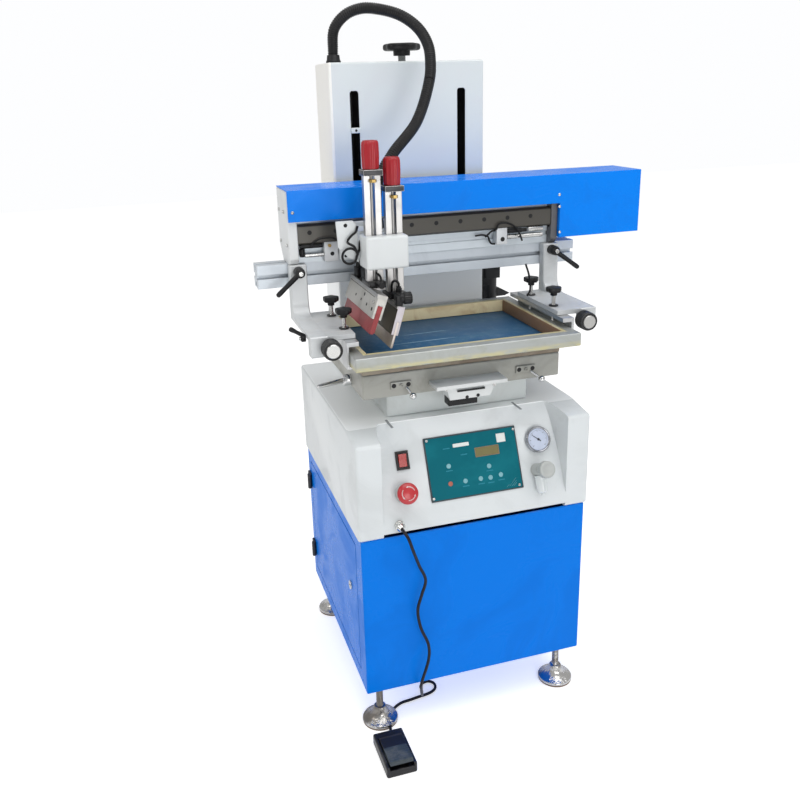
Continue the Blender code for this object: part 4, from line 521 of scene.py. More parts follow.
lock_chrome = finish("lock_chrome", (0.70, 0.70, 0.70), 0.16, 1.0, shade=(0.45, 0.45, 0.45), grain_scale=1500.0,
                     depth=0.00001, soft_edge=0.0003)
key_slot = finish("key_slot_shadow", (0.01, 0.01, 0.01), 0.6)
lock_at = (-0.291, -0.128151, 0.28508)
lock_face = [(0.0090, 0.0003), (0.0090, 0.0020), (0.0082, 0.0030), (0.0058, 0.0030), (0.0054, 0.0024),
             (0.0006, 0.0024)]
lock = piece("door_cam_lock", [turned(lock_face, lock_at, TO_LEFT)], lock_chrome, "door")
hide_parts("door_lock")


def round_corners(steps):
    """For each point of four quarter circles: its place on a unit circle, and which corner it is at."""
    quarter = np.linspace(0, math.pi / 2, steps + 1)
    angle = np.concatenate([quarter + turns * math.pi / 2 for turns in range(4)])
    corner = np.repeat([[1, 1], [-1, 1], [-1, -1], [1, -1]], steps + 1, axis=0)
    return np.stack([np.cos(angle), np.sin(angle)], axis=1), corner


def block(low, high, radius=0.001, steps=3):
    """A block with rounded corners and edges: a rounded rectangle carried up, its inset and rise following
    a quarter circle at each end."""
    low, high = np.minimum(low, high), np.maximum(low, high)
    middle, half = (low + high) / 2, (high - low) / 2
    radius = min(radius, half.min() * 0.98)
    ray, corner = round_corners(steps)
    q = np.linspace(0, math.pi / 2, steps + 1)
    inset = np.concatenate([1 - np.sin(q), 1 - np.cos(q)])
    rise = np.concatenate([-half[2] + radius * (1 - np.cos(q)), half[2] - radius * (1 - np.sin(q))])
    small = (radius * (1 - inset) + 1e-5)[:, None, None]
    flat = (corner * (half[:2] - radius))[None] + small * ray[None]
    rings = np.concatenate([flat, np.broadcast_to(rise[:, None, None], (*flat.shape[:2], 1))], axis=2)
    return loft(rings + middle)


piece("lock_key_slot", [block((-0.2938, -0.129, 0.2815), (-0.2930, -0.1273, 0.2887), 0.0002)], key_slot, "door")

# ---------------------------------------------------------------------------------------------------------
# Deck
# One white moulded shell over the cabinet, sprayed, slightly glossy and dusty; its top is painted lighter
# as painted light from above. Two short grey strips run back from near the front edge of its top.


def merged(node_name, name, material, body, angle=32.0):
    """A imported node's own surface with its loose triangles joined at equal corners, shaded smooth below an
    angle, which stands for the node."""
    source = frame["nodes"][node_name].data
    source.calc_loop_triangles()
    points, corners = np.empty(len(source.vertices) * 3), np.empty(len(source.loop_triangles) * 3, int)
    source.vertices.foreach_get("co", points)
    source.loop_triangles.foreach_get("vertices", corners)
    whole, index = np.unique(np.round(points.reshape(-1, 3), 6), axis=0, return_inverse=True)
    faces = index.ravel()[corners].reshape(-1, 3)
    faces = faces[(faces[:, 0] != faces[:, 1]) & (faces[:, 1] != faces[:, 2]) & (faces[:, 2] != faces[:, 0])]
    made = piece(name, [(whole, faces.tolist())], material, body, angle)
    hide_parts(node_name)
    return made


def place_in(tree):
    """The place on a piece and its three measures, as shader values."""
    place = node(tree, "TexCoord").outputs["Object"]
    return place, node(tree, "SeparateXYZ", {0: place}).outputs


def colour_over(material, mask, colour):
    """Another colour for a finish, as far as a mask goes."""
    tree = material.node_tree
    surface = tree.nodes["Principled BSDF"].inputs["Base Color"]
    tone = surface.links[0].from_socket
    tree.links.new(mix(tree, mask, tone, (*colour, 1.0)), surface)


def coloured_where(material, axis_name, edge_value, colour, below=True):
    """Another colour for a finish on one side of a plane across an axis."""
    along_axis = place_in(material.node_tree)[1][axis_name]
    operation = "LESS_THAN" if below else "GREATER_THAN"
    colour_over(material, reckon(material.node_tree, operation, along_axis, edge_value), colour)


deck_white = finish("deck_white_coat", (0.68, 0.715, 0.73), 0.34, coat=0.2, shade=(0.60, 0.63, 0.64), shade_share=0.7,
                    dust=0.12, dust_colour=(0.60, 0.61, 0.60), edge=0.4, edge_colour=(0.83, 0.83, 0.82),
                    grain_scale=380.0, depth=0.00016, swing=0.12)
# Painted light: above this height the deck's top is painted a lighter white for the light falling on it.
UNDER_DECK_TOP = 0.6296
coloured_where(deck_white, "Z", UNDER_DECK_TOP, (0.90, 0.93, 0.94), below=False)
shell = merged("deck", "moulded_deck", deck_white, "machine")
# Two short darker grey strips on the deck's top near its front edge.
deck_strip_grey = finish("deck_strip_grey", (0.30, 0.32, 0.34), 0.6, shade=(0.42, 0.43, 0.44))
piece("deck_grey_strips",
      [block((x - 0.0024, -0.181, 0.6306), (x + 0.0024, -0.139, 0.6313), 0.0002) for x in (-0.211, 0.048)], deck_strip_grey,
      "machine")

# ---------------------------------------------------------------------------------------------------------
# Control panel
# A dark backed plate under a teal printed membrane, held by four bright screws. Under the membrane are
# raised keys and a small amber display window; the printed captions are plain bars.


def plate(outline, low, high, axes, origin=(0.0, 0.0, 0.0), edge=0.0002):
    """A flat outline in the first two axes made solid along the third: each end is stepped in by the edge
    width, every corner moving along the mean of its two edges' normals."""
    outline = np.array(outline, float)
    run = np.roll(outline, -1, axis=0) - outline
    if (outline[:, 0] * np.roll(outline[:, 1], -1) - outline[:, 1] * np.roll(outline[:, 0], -1)).sum() < 0:
        outline = outline[::-1]
        run = np.roll(outline, -1, axis=0) - outline
    inward = np.stack([-run[:, 1], run[:, 0]], axis=1) / np.linalg.norm(run, axis=1, keepdims=True)
    mean = inward + np.roll(inward, 1, axis=0)
    mean /= np.maximum((mean**2).sum(axis=1, keepdims=True) / 2, 0.2)
    rings = np.stack([outline + mean * inset for inset in (edge, 0.0, 0.0, edge)])
    rise = np.array([low, low + edge, high - edge, high])[:, None, None]
    flat = np.concatenate([rings, np.broadcast_to(rise, (*rings.shape[:2], 1))], axis=2)
    return loft(np.array(origin) + flat @ np.array(axes, float))


def rounded(width, height, radius, middle=(0.0, 0.0), steps=4):
    """A rectangle's outline with a quarter circle at each corner."""
    ray, corner = round_corners(steps)
    return corner * (np.array([width, height]) / 2 - radius) + radius * ray + middle


SLOPE = ((1.0, 0.0, 0.0), (0.0, 0.4031036, 0.9151544), (0.0, -0.9151544, 0.4031036))
MACHINE_MIDDLE = -0.061
SLOPE_FOOT = (MACHINE_MIDDLE, -0.227151, 0.463)


def on_slope(over, up, out):
    """A place on the sloped face: across it, up it and out from it."""
    return np.array(SLOPE_FOOT) + np.array([over, up, out]) @ np.array(SLOPE)


def slope_plates(name, outlines, low, high, material, body="machine", edge=0.0002):
    """Thin plates laid on the sloped face between two heights."""
    return piece(name, [plate(outline, low, high, SLOPE, SLOPE_FOOT, edge) for outline in outlines], material, body)


def socket_screw(at, along, radius):
    """A cap screw's head with its round socket."""
    shape = [(radius * 0.92, 0.0), (radius, radius * 0.15), (radius, radius * 0.85), (radius * 0.88, radius),
             (radius * 0.52, radius), (radius * 0.48, radius * 0.4), (radius * 0.05, radius * 0.4)]
    return turned(shape, at, along, steps=16)


def printed(name, colour, roughness, shade, **more):
    """Screen-printed ink: even, with next to no grain."""
    return finish(name, colour, roughness, shade=shade, grain_scale=1600.0, depth=0.00003, **more)


panel_back = finish("panel_back_plate", (0.035, 0.05, 0.06), 0.45, shade=(0.06, 0.08, 0.09), dust=0.2)
membrane_teal = finish("membrane_teal", (0.005, 0.128, 0.165), 0.40, shade=(0.008, 0.160, 0.200), shade_share=0.8,
                       dust=0.02, dust_colour=(0.30, 0.42, 0.46), grain_scale=1600.0, depth=0.00004, bends=1.15)
key_white = printed("key_pale_print", (0.20, 0.44, 0.49), 0.4, (0.14, 0.36, 0.42))
key_red = printed("key_red_print", (0.42, 0.12, 0.08), 0.4, (0.34, 0.10, 0.07))
label_white = finish("label_paper", (0.76, 0.78, 0.76), 0.55, shade=(0.6, 0.62, 0.6), grain_scale=1200.0,
                     depth=0.00003)
caption_scuff = printed("membrane_scuff", (0.22, 0.42, 0.46), 0.5, (0.10, 0.30, 0.36), shade_share=0.9, bends=1.2)
display_amber = finish("display_amber", (0.185, 0.165, 0.065), 0.18, coat=0.5, shade=(0.12, 0.11, 0.05),
                       grain_scale=900.0, depth=0.00001)
display_rim = finish("display_brown_rim", (0.24, 0.17, 0.09), 0.4, shade=(0.18, 0.15, 0.09))
bright_screw = finish("bright_screw_steel", (0.66, 0.66, 0.65), 0.28, 1.0, shade=(0.42, 0.41, 0.39), dust=0.2,
                      grain_scale=1500.0, depth=0.00002, soft_edge=0.0003)
coat("control_panel", panel_back)
PANEL_MIDDLE, ON_MEMBRANE = (0.0055, 0.0835), 0.0030
membrane = slope_plates("panel_membrane", [rounded(0.183, 0.116, 0.003, PANEL_MIDDLE)], 0.0027, 0.0031, membrane_teal)
panel_corners = ((-0.0825, 0.1385), (0.0945, 0.1375), (0.0905, 0.0300), (-0.0845, 0.0300))
piece("panel_screws", [socket_screw(on_slope(over, up, ON_MEMBRANE), SLOPE[2], 0.0026) for over, up in panel_corners],
      bright_screw, "machine")
labels = [rounded(0.033, 0.0070, 0.0016, (-0.0154, 0.1225)), rounded(0.0185, 0.0170, 0.0006, (0.0672, 0.1245))]
slope_plates("panel_labels", labels, ON_MEMBRANE, 0.0033, label_white)
DISPLAY_MIDDLE = (0.0355, 0.1035)
slope_plates("display_frame", [rounded(0.050, 0.0185, 0.0012, DISPLAY_MIDDLE)], ON_MEMBRANE, 0.0034, display_rim)
slope_plates("display_window", [rounded(0.046, 0.0150, 0.0008, DISPLAY_MIDDLE)], 0.0031, 0.0036, display_amber)
key_places = [(-0.0457, 0.0859), (0.0350, 0.0743), (-0.0169, 0.0536), (0.0144, 0.0534), (0.0344, 0.0525),
              (0.0562, 0.0548)]
key_shape = [(0.0044, 0.0029), (0.0046, 0.0033), (0.0043, 0.0036), (0.0028, 0.00375), (0.0004, 0.0038)]
for name, places, material in (("panel_keys", key_places, key_white),
                               ("panel_stop_key", [(-0.0471, 0.0527)], key_red)):
    piece(name, [turned(key_shape, on_slope(over, up, 0.0), SLOPE[2], steps=28) for over, up in places], material,
          "machine")
caption_places = [(-0.0454, 0.1190), (-0.0120, 0.1035), (-0.0457, 0.0770), (0.0350, 0.0655),
                  (-0.0169, 0.0440), (0.0144, 0.0436), (0.0344, 0.0430), (0.0562, 0.0450)]
captions = [rounded(0.0135, 0.0022, 0.0005, place) for place in caption_places]
caption_teal = printed("caption_print", (0.030, 0.240, 0.320), 0.4, (0.020, 0.200, 0.280), bends=1.2)
slope_plates("panel_caption_bars", captions, ON_MEMBRANE, 0.0032, caption_teal, edge=0.00005)
scuff_starts = ((0.0700, 0.0300, 0.016), (0.0745, 0.0290, 0.011), (0.0790, 0.0292, 0.007), (0.0640, 0.0285, 0.006))
scuffs = [[(x, up), (x + 0.0008, up), (x + 0.0008 + run, up + run * 0.9), (x + run, up + run * 0.9)]
          for x, up, run in scuff_starts]
slope_plates("panel_scuffs", scuffs, ON_MEMBRANE, 0.00315, caption_scuff, edge=0.00005)

# ---------------------------------------------------------------------------------------------------------
# Mains rocker and stop button
# A red rocker in a black snap-in bezel, and under it the mushroom stop: a red dome with pale turning
# arrows round its top, over a grey collar.

bezel_black = finish("bezel_black", (0.010, 0.008, 0.008), 0.38, shade=(0.02, 0.018, 0.018), dust=0.12,
                     grain_scale=1400.0, depth=0.00003)
rocker_red = finish("rocker_red", (0.46, 0.020, 0.010), 0.22, coat=0.4, shade=(0.30, 0.008, 0.006), grain_scale=900.0,
                    depth=0.00001, soft_edge=0.0006)
coat("rocker_frame", bezel_black)
coat("rocker_switch", rocker_red)

stop_red = finish("stop_red", (0.52, 0.022, 0.030), 0.30, coat=0.4, shade=(0.40, 0.018, 0.024), dust=0.25,
                  dust_colour=(0.6, 0.45, 0.42), grain_scale=1000.0, depth=0.00003)
stop_grey = finish("stop_collar_grey", (0.55, 0.56, 0.55), 0.42, shade=(0.42, 0.43, 0.42), dust=0.3)
arrow_white = finish("arrow_white", (0.72, 0.60, 0.60), 0.4, shade=(0.6, 0.45, 0.45))
STOP_AT = on_slope(-0.1383, 0.0494, 0.0003)
collar_line = [(0.0185, 0.0), (0.0183, 0.0020), (0.0165, 0.0062), (0.0145, 0.0100), (0.0138, 0.0116),
               (0.0128, 0.0120), (0.0089, 0.0120), (0.0089, 0.0041), (0.0003, 0.0041)]
collar = piece("stop_collar_ring", [turned(collar_line, STOP_AT, SLOPE[2])], stop_grey, "machine")
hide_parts("stop_collar")
mushroom = [(0.0003, 0.0083), (0.0085, 0.0083), (0.0085, 0.0170), (0.0180, 0.0173), (0.0194, 0.0190),
            (0.0199, 0.0215), (0.0200, 0.0240), (0.0194, 0.0260), (0.0172, 0.0280), (0.0150, 0.0290),
            (0.0120, 0.0299), (0.0070, 0.0307), (0.0004, 0.0310)]
dome = piece("stop_mushroom", [turned(mushroom, STOP_AT, SLOPE[2], steps=56)], stop_red, "stop")
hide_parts("stop_button")


def arc_band(radius, width, begin, end, steps=14):
    """The outline of a strip bent round a circle between two angles, with a pointed head at its end."""
    t = np.radians(np.linspace(begin, end, steps))
    ray = np.stack([np.cos(t), np.sin(t)], axis=1)
    head = np.radians(end)
    tip = (radius * np.array([math.cos(head + 0.34), math.sin(head + 0.34)]))[None]
    wing = np.array([math.cos(head), math.sin(head)])[None]
    return np.vstack([ray * (radius - width / 2), wing * (radius - width * 1.3), tip, wing * (radius + width * 1.3),
                      ray[::-1] * (radius + width / 2)])


def on_dome(outline, thickness=0.0004):
    """A thin band laid over the mushroom's curved top: its height follows the dome's profile at each radius."""
    points, faces = plate(outline, 0.0, thickness, np.eye(3), edge=0.00008)
    radius = np.linalg.norm(points[:, :2], axis=1)
    profile = np.array(mushroom[3:])[::-1]
    points[:, 2] += np.interp(radius, profile[:, 0], profile[:, 1]) - 0.0001
    return STOP_AT + points @ np.array(SLOPE), faces


piece("stop_arrows", [on_dome(arc_band(0.0125, 0.0016, start, start + 70)) for start in (20, 140, 260)],
      arrow_white, "stop")

# ---------------------------------------------------------------------------------------------------------
# Vacuum gauge and regulator
# A dial gauge in a chromed case, with printed ticks and a dark pointer. The regulator under it is pale grey
# nylon: a threaded neck and a fluted pull knob, with a paler bowl hanging below.

gauge_chrome = finish("gauge_chrome", (0.42, 0.43, 0.46), 0.14, 1.0, shade=(0.50, 0.51, 0.52), dust=0.1,
                      grain_scale=1500.0, depth=0.00001, soft_edge=0.0003)
dial_white = finish("dial_white", (0.56, 0.62, 0.76), 0.35, coat=0.4, shade=(0.46, 0.53, 0.68), grain_scale=1500.0,
                    depth=0.00001)
pointer_black = finish("pointer_black", (0.02, 0.02, 0.025), 0.4, shade=(0.05, 0.05, 0.06))
GAUGE_AT = on_slope(0.1426, 0.1103, 0.0003)
case = [(0.0246, 0.0), (0.0255, 0.0006), (0.0258, 0.0018), (0.0258, 0.0074), (0.0254, 0.0090), (0.0245, 0.0099),
        (0.0236, 0.0100), (0.0226, 0.0097), (0.0217, 0.0088), (0.0213, 0.0078), (0.0004, 0.0078)]
gauge = piece("gauge_case", [turned(case, GAUGE_AT, SLOPE[2], steps=72)], gauge_chrome, "machine")
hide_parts("vacuum_gauge")
piece("gauge_dial", [turned([(0.0212, 0.0077), (0.0212, 0.0081), (0.0004, 0.0081)], GAUGE_AT, SLOPE[2], steps=72)],
      dial_white, "machine")


def dial_mark(begin, end, width, angle, low, high):
    """A straight mark on the gauge's face, from one radius to another at an angle from straight up."""
    t = math.radians(angle)
    ray, beside = np.array([math.sin(t), math.cos(t)]), np.array([math.cos(t), -math.sin(t)])
    corners = [ray * begin - beside * width[0], ray * end - beside * width[1], ray * end + beside * width[1],
               ray * begin + beside * width[0]]
    return plate(corners, low, high, SLOPE, GAUGE_AT, 0.00005)


LONG_TICK, SHORT_TICK = (0.0150, (0.00032, 0.00032)), (0.0165, (0.00016, 0.00016))
ticks = []
for step in range(31):
    begin, width = SHORT_TICK if step % 5 else LONG_TICK
    ticks.append(dial_mark(begin, 0.0188, width, -135 + 9 * step, 0.0080, 0.00825))
hub = turned([(0.0024, 0.0080), (0.0022, 0.0094), (0.0004, 0.0097)], GAUGE_AT, SLOPE[2], steps=20)
piece("gauge_pointer", [*ticks, hub, dial_mark(-0.006, 0.0165, (0.0009, 0.00025), -52, 0.0086, 0.0090)],
      pointer_black, "machine")

regulator_grey = finish("regulator_grey", (0.43, 0.45, 0.44), 0.40, shade=(0.35, 0.37, 0.36), dust=0.25,
                        grain_scale=900.0, depth=0.00005)
bowl_clear = finish("bowl_polycarbonate", (0.70, 0.74, 0.75), 0.16, coat=0.5, shade=(0.58, 0.62, 0.64),
                    grain_scale=900.0, depth=0.00001)
REGULATOR_AT = on_slope(0.132, 0.0525, 0.0003)
neck_line = [(0.0125, 0.0), (0.0125, 0.0030), (0.0116, 0.0036), (0.0116, 0.0052), (0.0125, 0.0058), (0.0125, 0.0262),
             (0.0118, 0.0270), (0.0118, 0.0290), (0.0124, 0.0296), (0.0124, 0.0349)]
neck = piece("regulator_neck", [turned(neck_line, REGULATOR_AT, SLOPE[2])], regulator_grey, "machine")
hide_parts("regulator_body")
BOWL_AT = on_slope(0.132, 0.0525, 0.0133)
bowl_line = [(0.0108, 0.0105), (0.0114, 0.0120), (0.0114, 0.0150), (0.0106, 0.0158), (0.0104, 0.0340),
             (0.0101, 0.0390), (0.0092, 0.0425), (0.0070, 0.0442), (0.0040, 0.0446), (0.0040, 0.0489)]
bowl = piece("regulator_bowl", [turned(bowl_line, BOWL_AT, -np.array(SLOPE[1]), steps=36)], bowl_clear, "machine")


def fluted(profile, at, along, flutes, depth, steps=6):
    """A turned grip whose radius falls by a share of itself in each flute, as depth * the square of the
    sine of half the flutes' angle. Each height has its own share of that, and 0 leaves it plain."""
    side, other, along = axes_of(along)
    radius, rise, share = np.array(profile, float).T[:, :, None, None]
    t = np.linspace(0, 2 * math.pi, flutes * steps, endpoint=False)[None, :, None]
    size = radius * (1 - depth * share * np.sin(flutes * t / 2) ** 2)
    return loft(np.array(at) + rise * along + size * (np.cos(t) * side + np.sin(t) * other))


grip = [(0.0125, 0.0353, 0), (0.0140, 0.0360, 0.2), (0.0160, 0.0375, 1), (0.0165, 0.0390, 1), (0.0165, 0.0485, 1),
        (0.0162, 0.0502, 0.6), (0.0153, 0.0516, 0.2), (0.0138, 0.0524, 0), (0.0106, 0.0525, 0), (0.0100, 0.0520, 0),
        (0.0004, 0.0519, 0)]
pull = piece("regulator_pull_knob", [fluted(grip, REGULATOR_AT, SLOPE[2], 24, 0.06)], regulator_grey, "regulator",
             50.0)
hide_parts("regulator_knob")

# ---------------------------------------------------------------------------------------------------------
# Print bed
# A cast vacuum table under a worn, varnished plate, on a white pedestal. On its front edge sit two cam
# adjusters with bright ball levers and the register block; a chromed handle locks it from the left.

bed_cast = finish("bed_cast_grey", (0.36, 0.36, 0.33), 0.42, 0.2, shade=(0.25, 0.25, 0.22), shade_share=0.7,
                  dust=0.35, edge=0.5, edge_colour=(0.62, 0.62, 0.60), grain_scale=520.0, depth=0.0001)
bed_varnish = finish("bed_worn_plate", (0.20, 0.155, 0.115), 0.36, 0.3, shade=(0.30, 0.26, 0.20), shade_share=0.9,
                     dust=0.4, edge=0.8, edge_colour=(0.52, 0.50, 0.42), grain_scale=300.0, drawn=(8.0, 1.0, 1.0),
                     depth=0.00006)
pedestal_white = finish("pedestal_white", (0.62, 0.66, 0.66), 0.38, shade=(0.53, 0.55, 0.54), dust=0.2)
coat("bed_pedestal", pedestal_white)
coat("bed_box", bed_cast)
coat("bed_top", bed_varnish)
register_white = finish("register_white", (0.66, 0.68, 0.68), 0.40, 0.2, shade=(0.52, 0.54, 0.54), shade_share=0.8,
                        dust=0.1, edge=0.5, edge_colour=(0.78, 0.78, 0.78))
coat("register_block", register_white)
foot_black = finish("register_black", (0.012, 0.012, 0.013), 0.5, shade=(0.03, 0.03, 0.03), dust=0.15, bends=1.35)
# Painted shade: dark discs and strips stand for the shade inside holes, slots and grooves.
hole_painted_shade = finish("hole_painted_shade", (0.012, 0.012, 0.013), 0.7, shade=(0.02, 0.02, 0.02))
handle_chrome = finish("handle_chrome", (0.68, 0.68, 0.68), 0.14, 1.0, shade=(0.45, 0.45, 0.46), dust=0.15,
                       grain_scale=1200.0, depth=0.00001, soft_edge=0.0005)
piece("register_foot_pad", [block((-0.1036, -0.1912, 0.6611), (-0.0464, -0.1660, 0.6786), 0.0015)], foot_black,
      "machine")


def bored(at, radius, along=TO_FRONT, height=0.0003, steps=18):
    """The mouth of a bored hole, a dark disc just proud of the face that the hole is in, as painted shade."""
    return turned([(radius, 0.0), (radius, height)], at, along, steps)


piece("register_screws",
      [socket_screw((x, -0.1962, z), TO_FRONT, 0.0028) for x, z in ((-0.1109, 0.6967), (-0.0156, 0.6949))],
      bright_screw, "machine")
# Dark discs and a dark slot on the register block's front: painted shade in its holes and its slot.
register_marks = [bored((x, -0.1963, z), 0.0034, height=0.0004) for x, z in ((-0.0696, 0.6775), (-0.0477, 0.6784))]
register_marks.append(block((-0.0890, -0.1972, 0.6893), (-0.0340, -0.1962, 0.6932), 0.0008))
piece("register_holes", register_marks, hole_painted_shade, "machine")
ADJUSTER_FRONT, ADJUSTER_HEIGHT, BALL_RADIUS = -0.1640, 0.7055, 0.0066
around = np.linspace(0.02, math.pi - 0.02, 12)
ball = np.stack([BALL_RADIUS * np.sin(around), -BALL_RADIUS * np.cos(around)], axis=1)
adjusters, adjuster_holes, ball_levers = [], [], []
for left_x, ball_x in ((-0.2065, -0.1690), (0.0445, 0.0910)):
    adjusters += [block((left_x, ADJUSTER_FRONT, 0.6985), (left_x + 0.040, -0.1603, 0.7125), 0.0012),
                  socket_screw((left_x + 0.020, ADJUSTER_FRONT, ADJUSTER_HEIGHT), TO_FRONT, 0.0034)]
    adjuster_holes += [bored((left_x + end, ADJUSTER_FRONT, ADJUSTER_HEIGHT), 0.0044, steps=16)
                       for end in (0.0060, 0.0340)]
    root = np.array([left_x + 0.030, -0.1650, 0.7000])
    tip = np.array([ball_x, -0.1790, 0.6870])
    rod = [(0.0022, 0.0), (0.0019, float(np.linalg.norm(tip - root)))]
    ball_levers += [turned(rod, root, tip - root, 14), turned(ball, tip, tip - root, 24)]
piece("bed_adjusters", adjusters, bed_cast, "machine")
piece("bed_adjuster_holes", adjuster_holes, hole_painted_shade, "machine")
piece("bed_ball_levers", ball_levers, handle_chrome, "machine")
handle_hub, handle_root = (-0.259, -0.073151, 0.697), np.array([-0.269, -0.073151, 0.697])
handle_tip = np.array([-0.331, -0.103151, 0.701])
hub_line = [(0.0110, 0.0003), (0.0110, 0.0120), (0.0100, 0.0145), (0.0080, 0.0158), (0.0040, 0.0160)]
handle_line = [(0.0045, 0.0), (0.0050, 0.004), (0.0044, 0.045), (0.0040, 0.062), (0.0032, 0.0675), (0.0010, 0.0685)]
side_handle = piece("bed_side_handle", [turned(hub_line, handle_hub, TO_LEFT),
                                        turned(handle_line, handle_root, handle_tip - handle_root, 24)],
                    handle_chrome, "machine")
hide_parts("bed_handle")

# ---------------------------------------------------------------------------------------------------------
# Column, hand knob and air filter
# A folded white column with two slots that the lift shoes run in, their insides painted black as shade,
# a black star knob on its lift screw, and a black air filter on its right side.

column_white = finish("column_white_coat", (0.68, 0.73, 0.74), 0.40, coat=0.1, shade=(0.68, 0.71, 0.73),
                      shade_share=0.6, dust=0.15, edge=0.3, edge_colour=(0.84, 0.84, 0.84), grain_scale=380.0,
                      depth=0.00016)
SLOT_X, SLOT_FROM_MIDDLE, SLOT_RADIUS, SLOT_TOP = (-0.1745, 0.0525), 0.1135, 0.0096, 1.2225
COLUMN_LEFT, RAIL_FOOT, SHEET = -0.2187, 0.93, 0.0016
tree = column_white.node_tree
place, measure = place_in(tree)
# Painted shade: the slots' insides, white in the model, are painted near black for the shade in the hollow column.
from_middle = reckon(tree, "ABSOLUTE", reckon(tree, "ADD", measure["X"], -MACHINE_MIDDLE))
from_slot = reckon(tree, "ABSOLUTE", reckon(tree, "SUBTRACT", from_middle, SLOT_FROM_MIDDLE))
slot_shade = reckon(tree, "LESS_THAN", from_slot, SLOT_RADIUS)
for axis_name, operation, edge_value in (("Z", "LESS_THAN", SLOT_TOP), ("Y", "GREATER_THAN", column_front + SHEET),
                                         ("Y", "LESS_THAN", column_front + 0.06)):
    slot_shade = reckon(tree, "MULTIPLY", slot_shade, reckon(tree, operation, measure[axis_name], edge_value))
colour_over(column_white, slot_shade, (0.008, 0.008, 0.009))
# Painted light: the column's left face is painted a warm lighter white, and its front below the rail's foot a lighter
# white, where more light falls.
coloured_where(column_white, "X", COLUMN_LEFT, (0.93, 0.92, 0.88))
coloured_where(column_white, "Z", RAIL_FOOT, (0.93, 0.95, 0.96))
coat("column", column_white)
corner_white = finish("slot_corner_white", (0.76, 0.79, 0.81), 0.40, shade=(0.68, 0.71, 0.73), grain_scale=380.0,
                      depth=0.00016)
FACING_FRONT = (TO_RIGHT, UP, TO_FRONT)
arc = np.linspace(0, math.pi / 2, 9)
slot_corners = []
for x in SLOT_X:
    for side in (-1, 1):
        curve = np.stack([x + side * SLOT_RADIUS * np.sin(arc), 1.2131 + SLOT_RADIUS * np.cos(arc)], axis=1)
        slot_corners.append(np.vstack([[x + side * SLOT_RADIUS, 1.2227], curve]))
piece("slot_top_corners", [plate(outline, -column_front - SHEET, -column_front - 0.0002, FACING_FRONT, edge=0.0)
                           for outline in slot_corners], corner_white, "machine")
piece("slot_bracket", [block((-0.1838, 0.1318, 1.1404), (-0.1652, 0.1377, 1.1510), 0.001)], column_white, "machine")
piece("slot_bracket_hole", [bored((SLOT_X[0], 0.1319, 1.1457), 0.0026, steps=16)], hole_painted_shade, "machine")

knob_black = finish("knob_black", (0.008, 0.008, 0.009), 0.40, shade=(0.018, 0.018, 0.020), dust=0.10, edge=0.3,
                    edge_colour=(0.09, 0.09, 0.09), grain_scale=700.0, depth=0.00008, bends=1.35)


def lobed(levels, at, lobes=5, depth=0.16, steps=60):
    """A star knob's head about the vertical through a place: each (radius, height) is a ring whose radius
    is that value times 1 - depth / 2 + depth / 2 * cos(lobes * t)."""
    radius, rise = np.array(levels, float).T[:, :, None, None]
    t = np.linspace(0, 2 * math.pi, steps, endpoint=False)[None, :, None]
    size = radius * (1 - depth / 2 + depth / 2 * np.cos(lobes * t))
    return loft(np.array(at) + rise * np.array([0.0, 0.0, 1.0])
                + size * np.concatenate([np.cos(t), np.sin(t), 0 * t], axis=2))


top_knob_at = (-0.054, 0.198849, column_top)
star_head = [(0.034, 0.0220), (0.038, 0.0232), (0.040, 0.0262), (0.040, 0.0318), (0.038, 0.0346), (0.034, 0.0358),
             (0.018, 0.0360), (0.004, 0.0360)]
star_neck = [(0.0168, 0.0122), (0.0172, 0.0135), (0.0175, 0.0225)]
star = piece("column_star_knob", [lobed(star_head, top_knob_at), turned(star_neck, top_knob_at)], knob_black,
             "top_knob")
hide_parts("column_knob")
piece("lift_screw", [turned(threaded(0.0080, 0.0006, 0.0003 + 0.0011 * np.arange(12)), top_knob_at)],
      bright_screw, "top_knob")
filter_black = finish("filter_black", (0.010, 0.011, 0.013), 0.35, shade=(0.022, 0.024, 0.028), dust=0.15, edge=0.2,
                      edge_colour=(0.15, 0.15, 0.15))
coat("air_filter", filter_black)
drain_outline = [(0.1300, 0.7680), (0.1300, 0.7890), (0.1524, 0.7887), (0.1797, 0.7735), (0.1676, 0.7688)]
piece("filter_drain_bracket", [plate(drain_outline, -0.1740, -0.1620, FACING_FRONT, edge=0.0008)], filter_black,
      "machine")
sight_glass = [(0.0052, 0.0), (0.0052, 0.0006), (0.0040, 0.0010)]
piece("filter_sight_glass", [turned(sight_glass, (0.1300, 0.1531, 0.8170), TO_FRONT, 20)], bright_screw, "machine")

# ---------------------------------------------------------------------------------------------------------
# Beam, guide rail and cover
# An extruded beam with a hardened guide rail along its front, between a white end plate and a dark one.
# Sensors and stops are clamped under the rail; a bright blue sheet cover is riveted over it all.


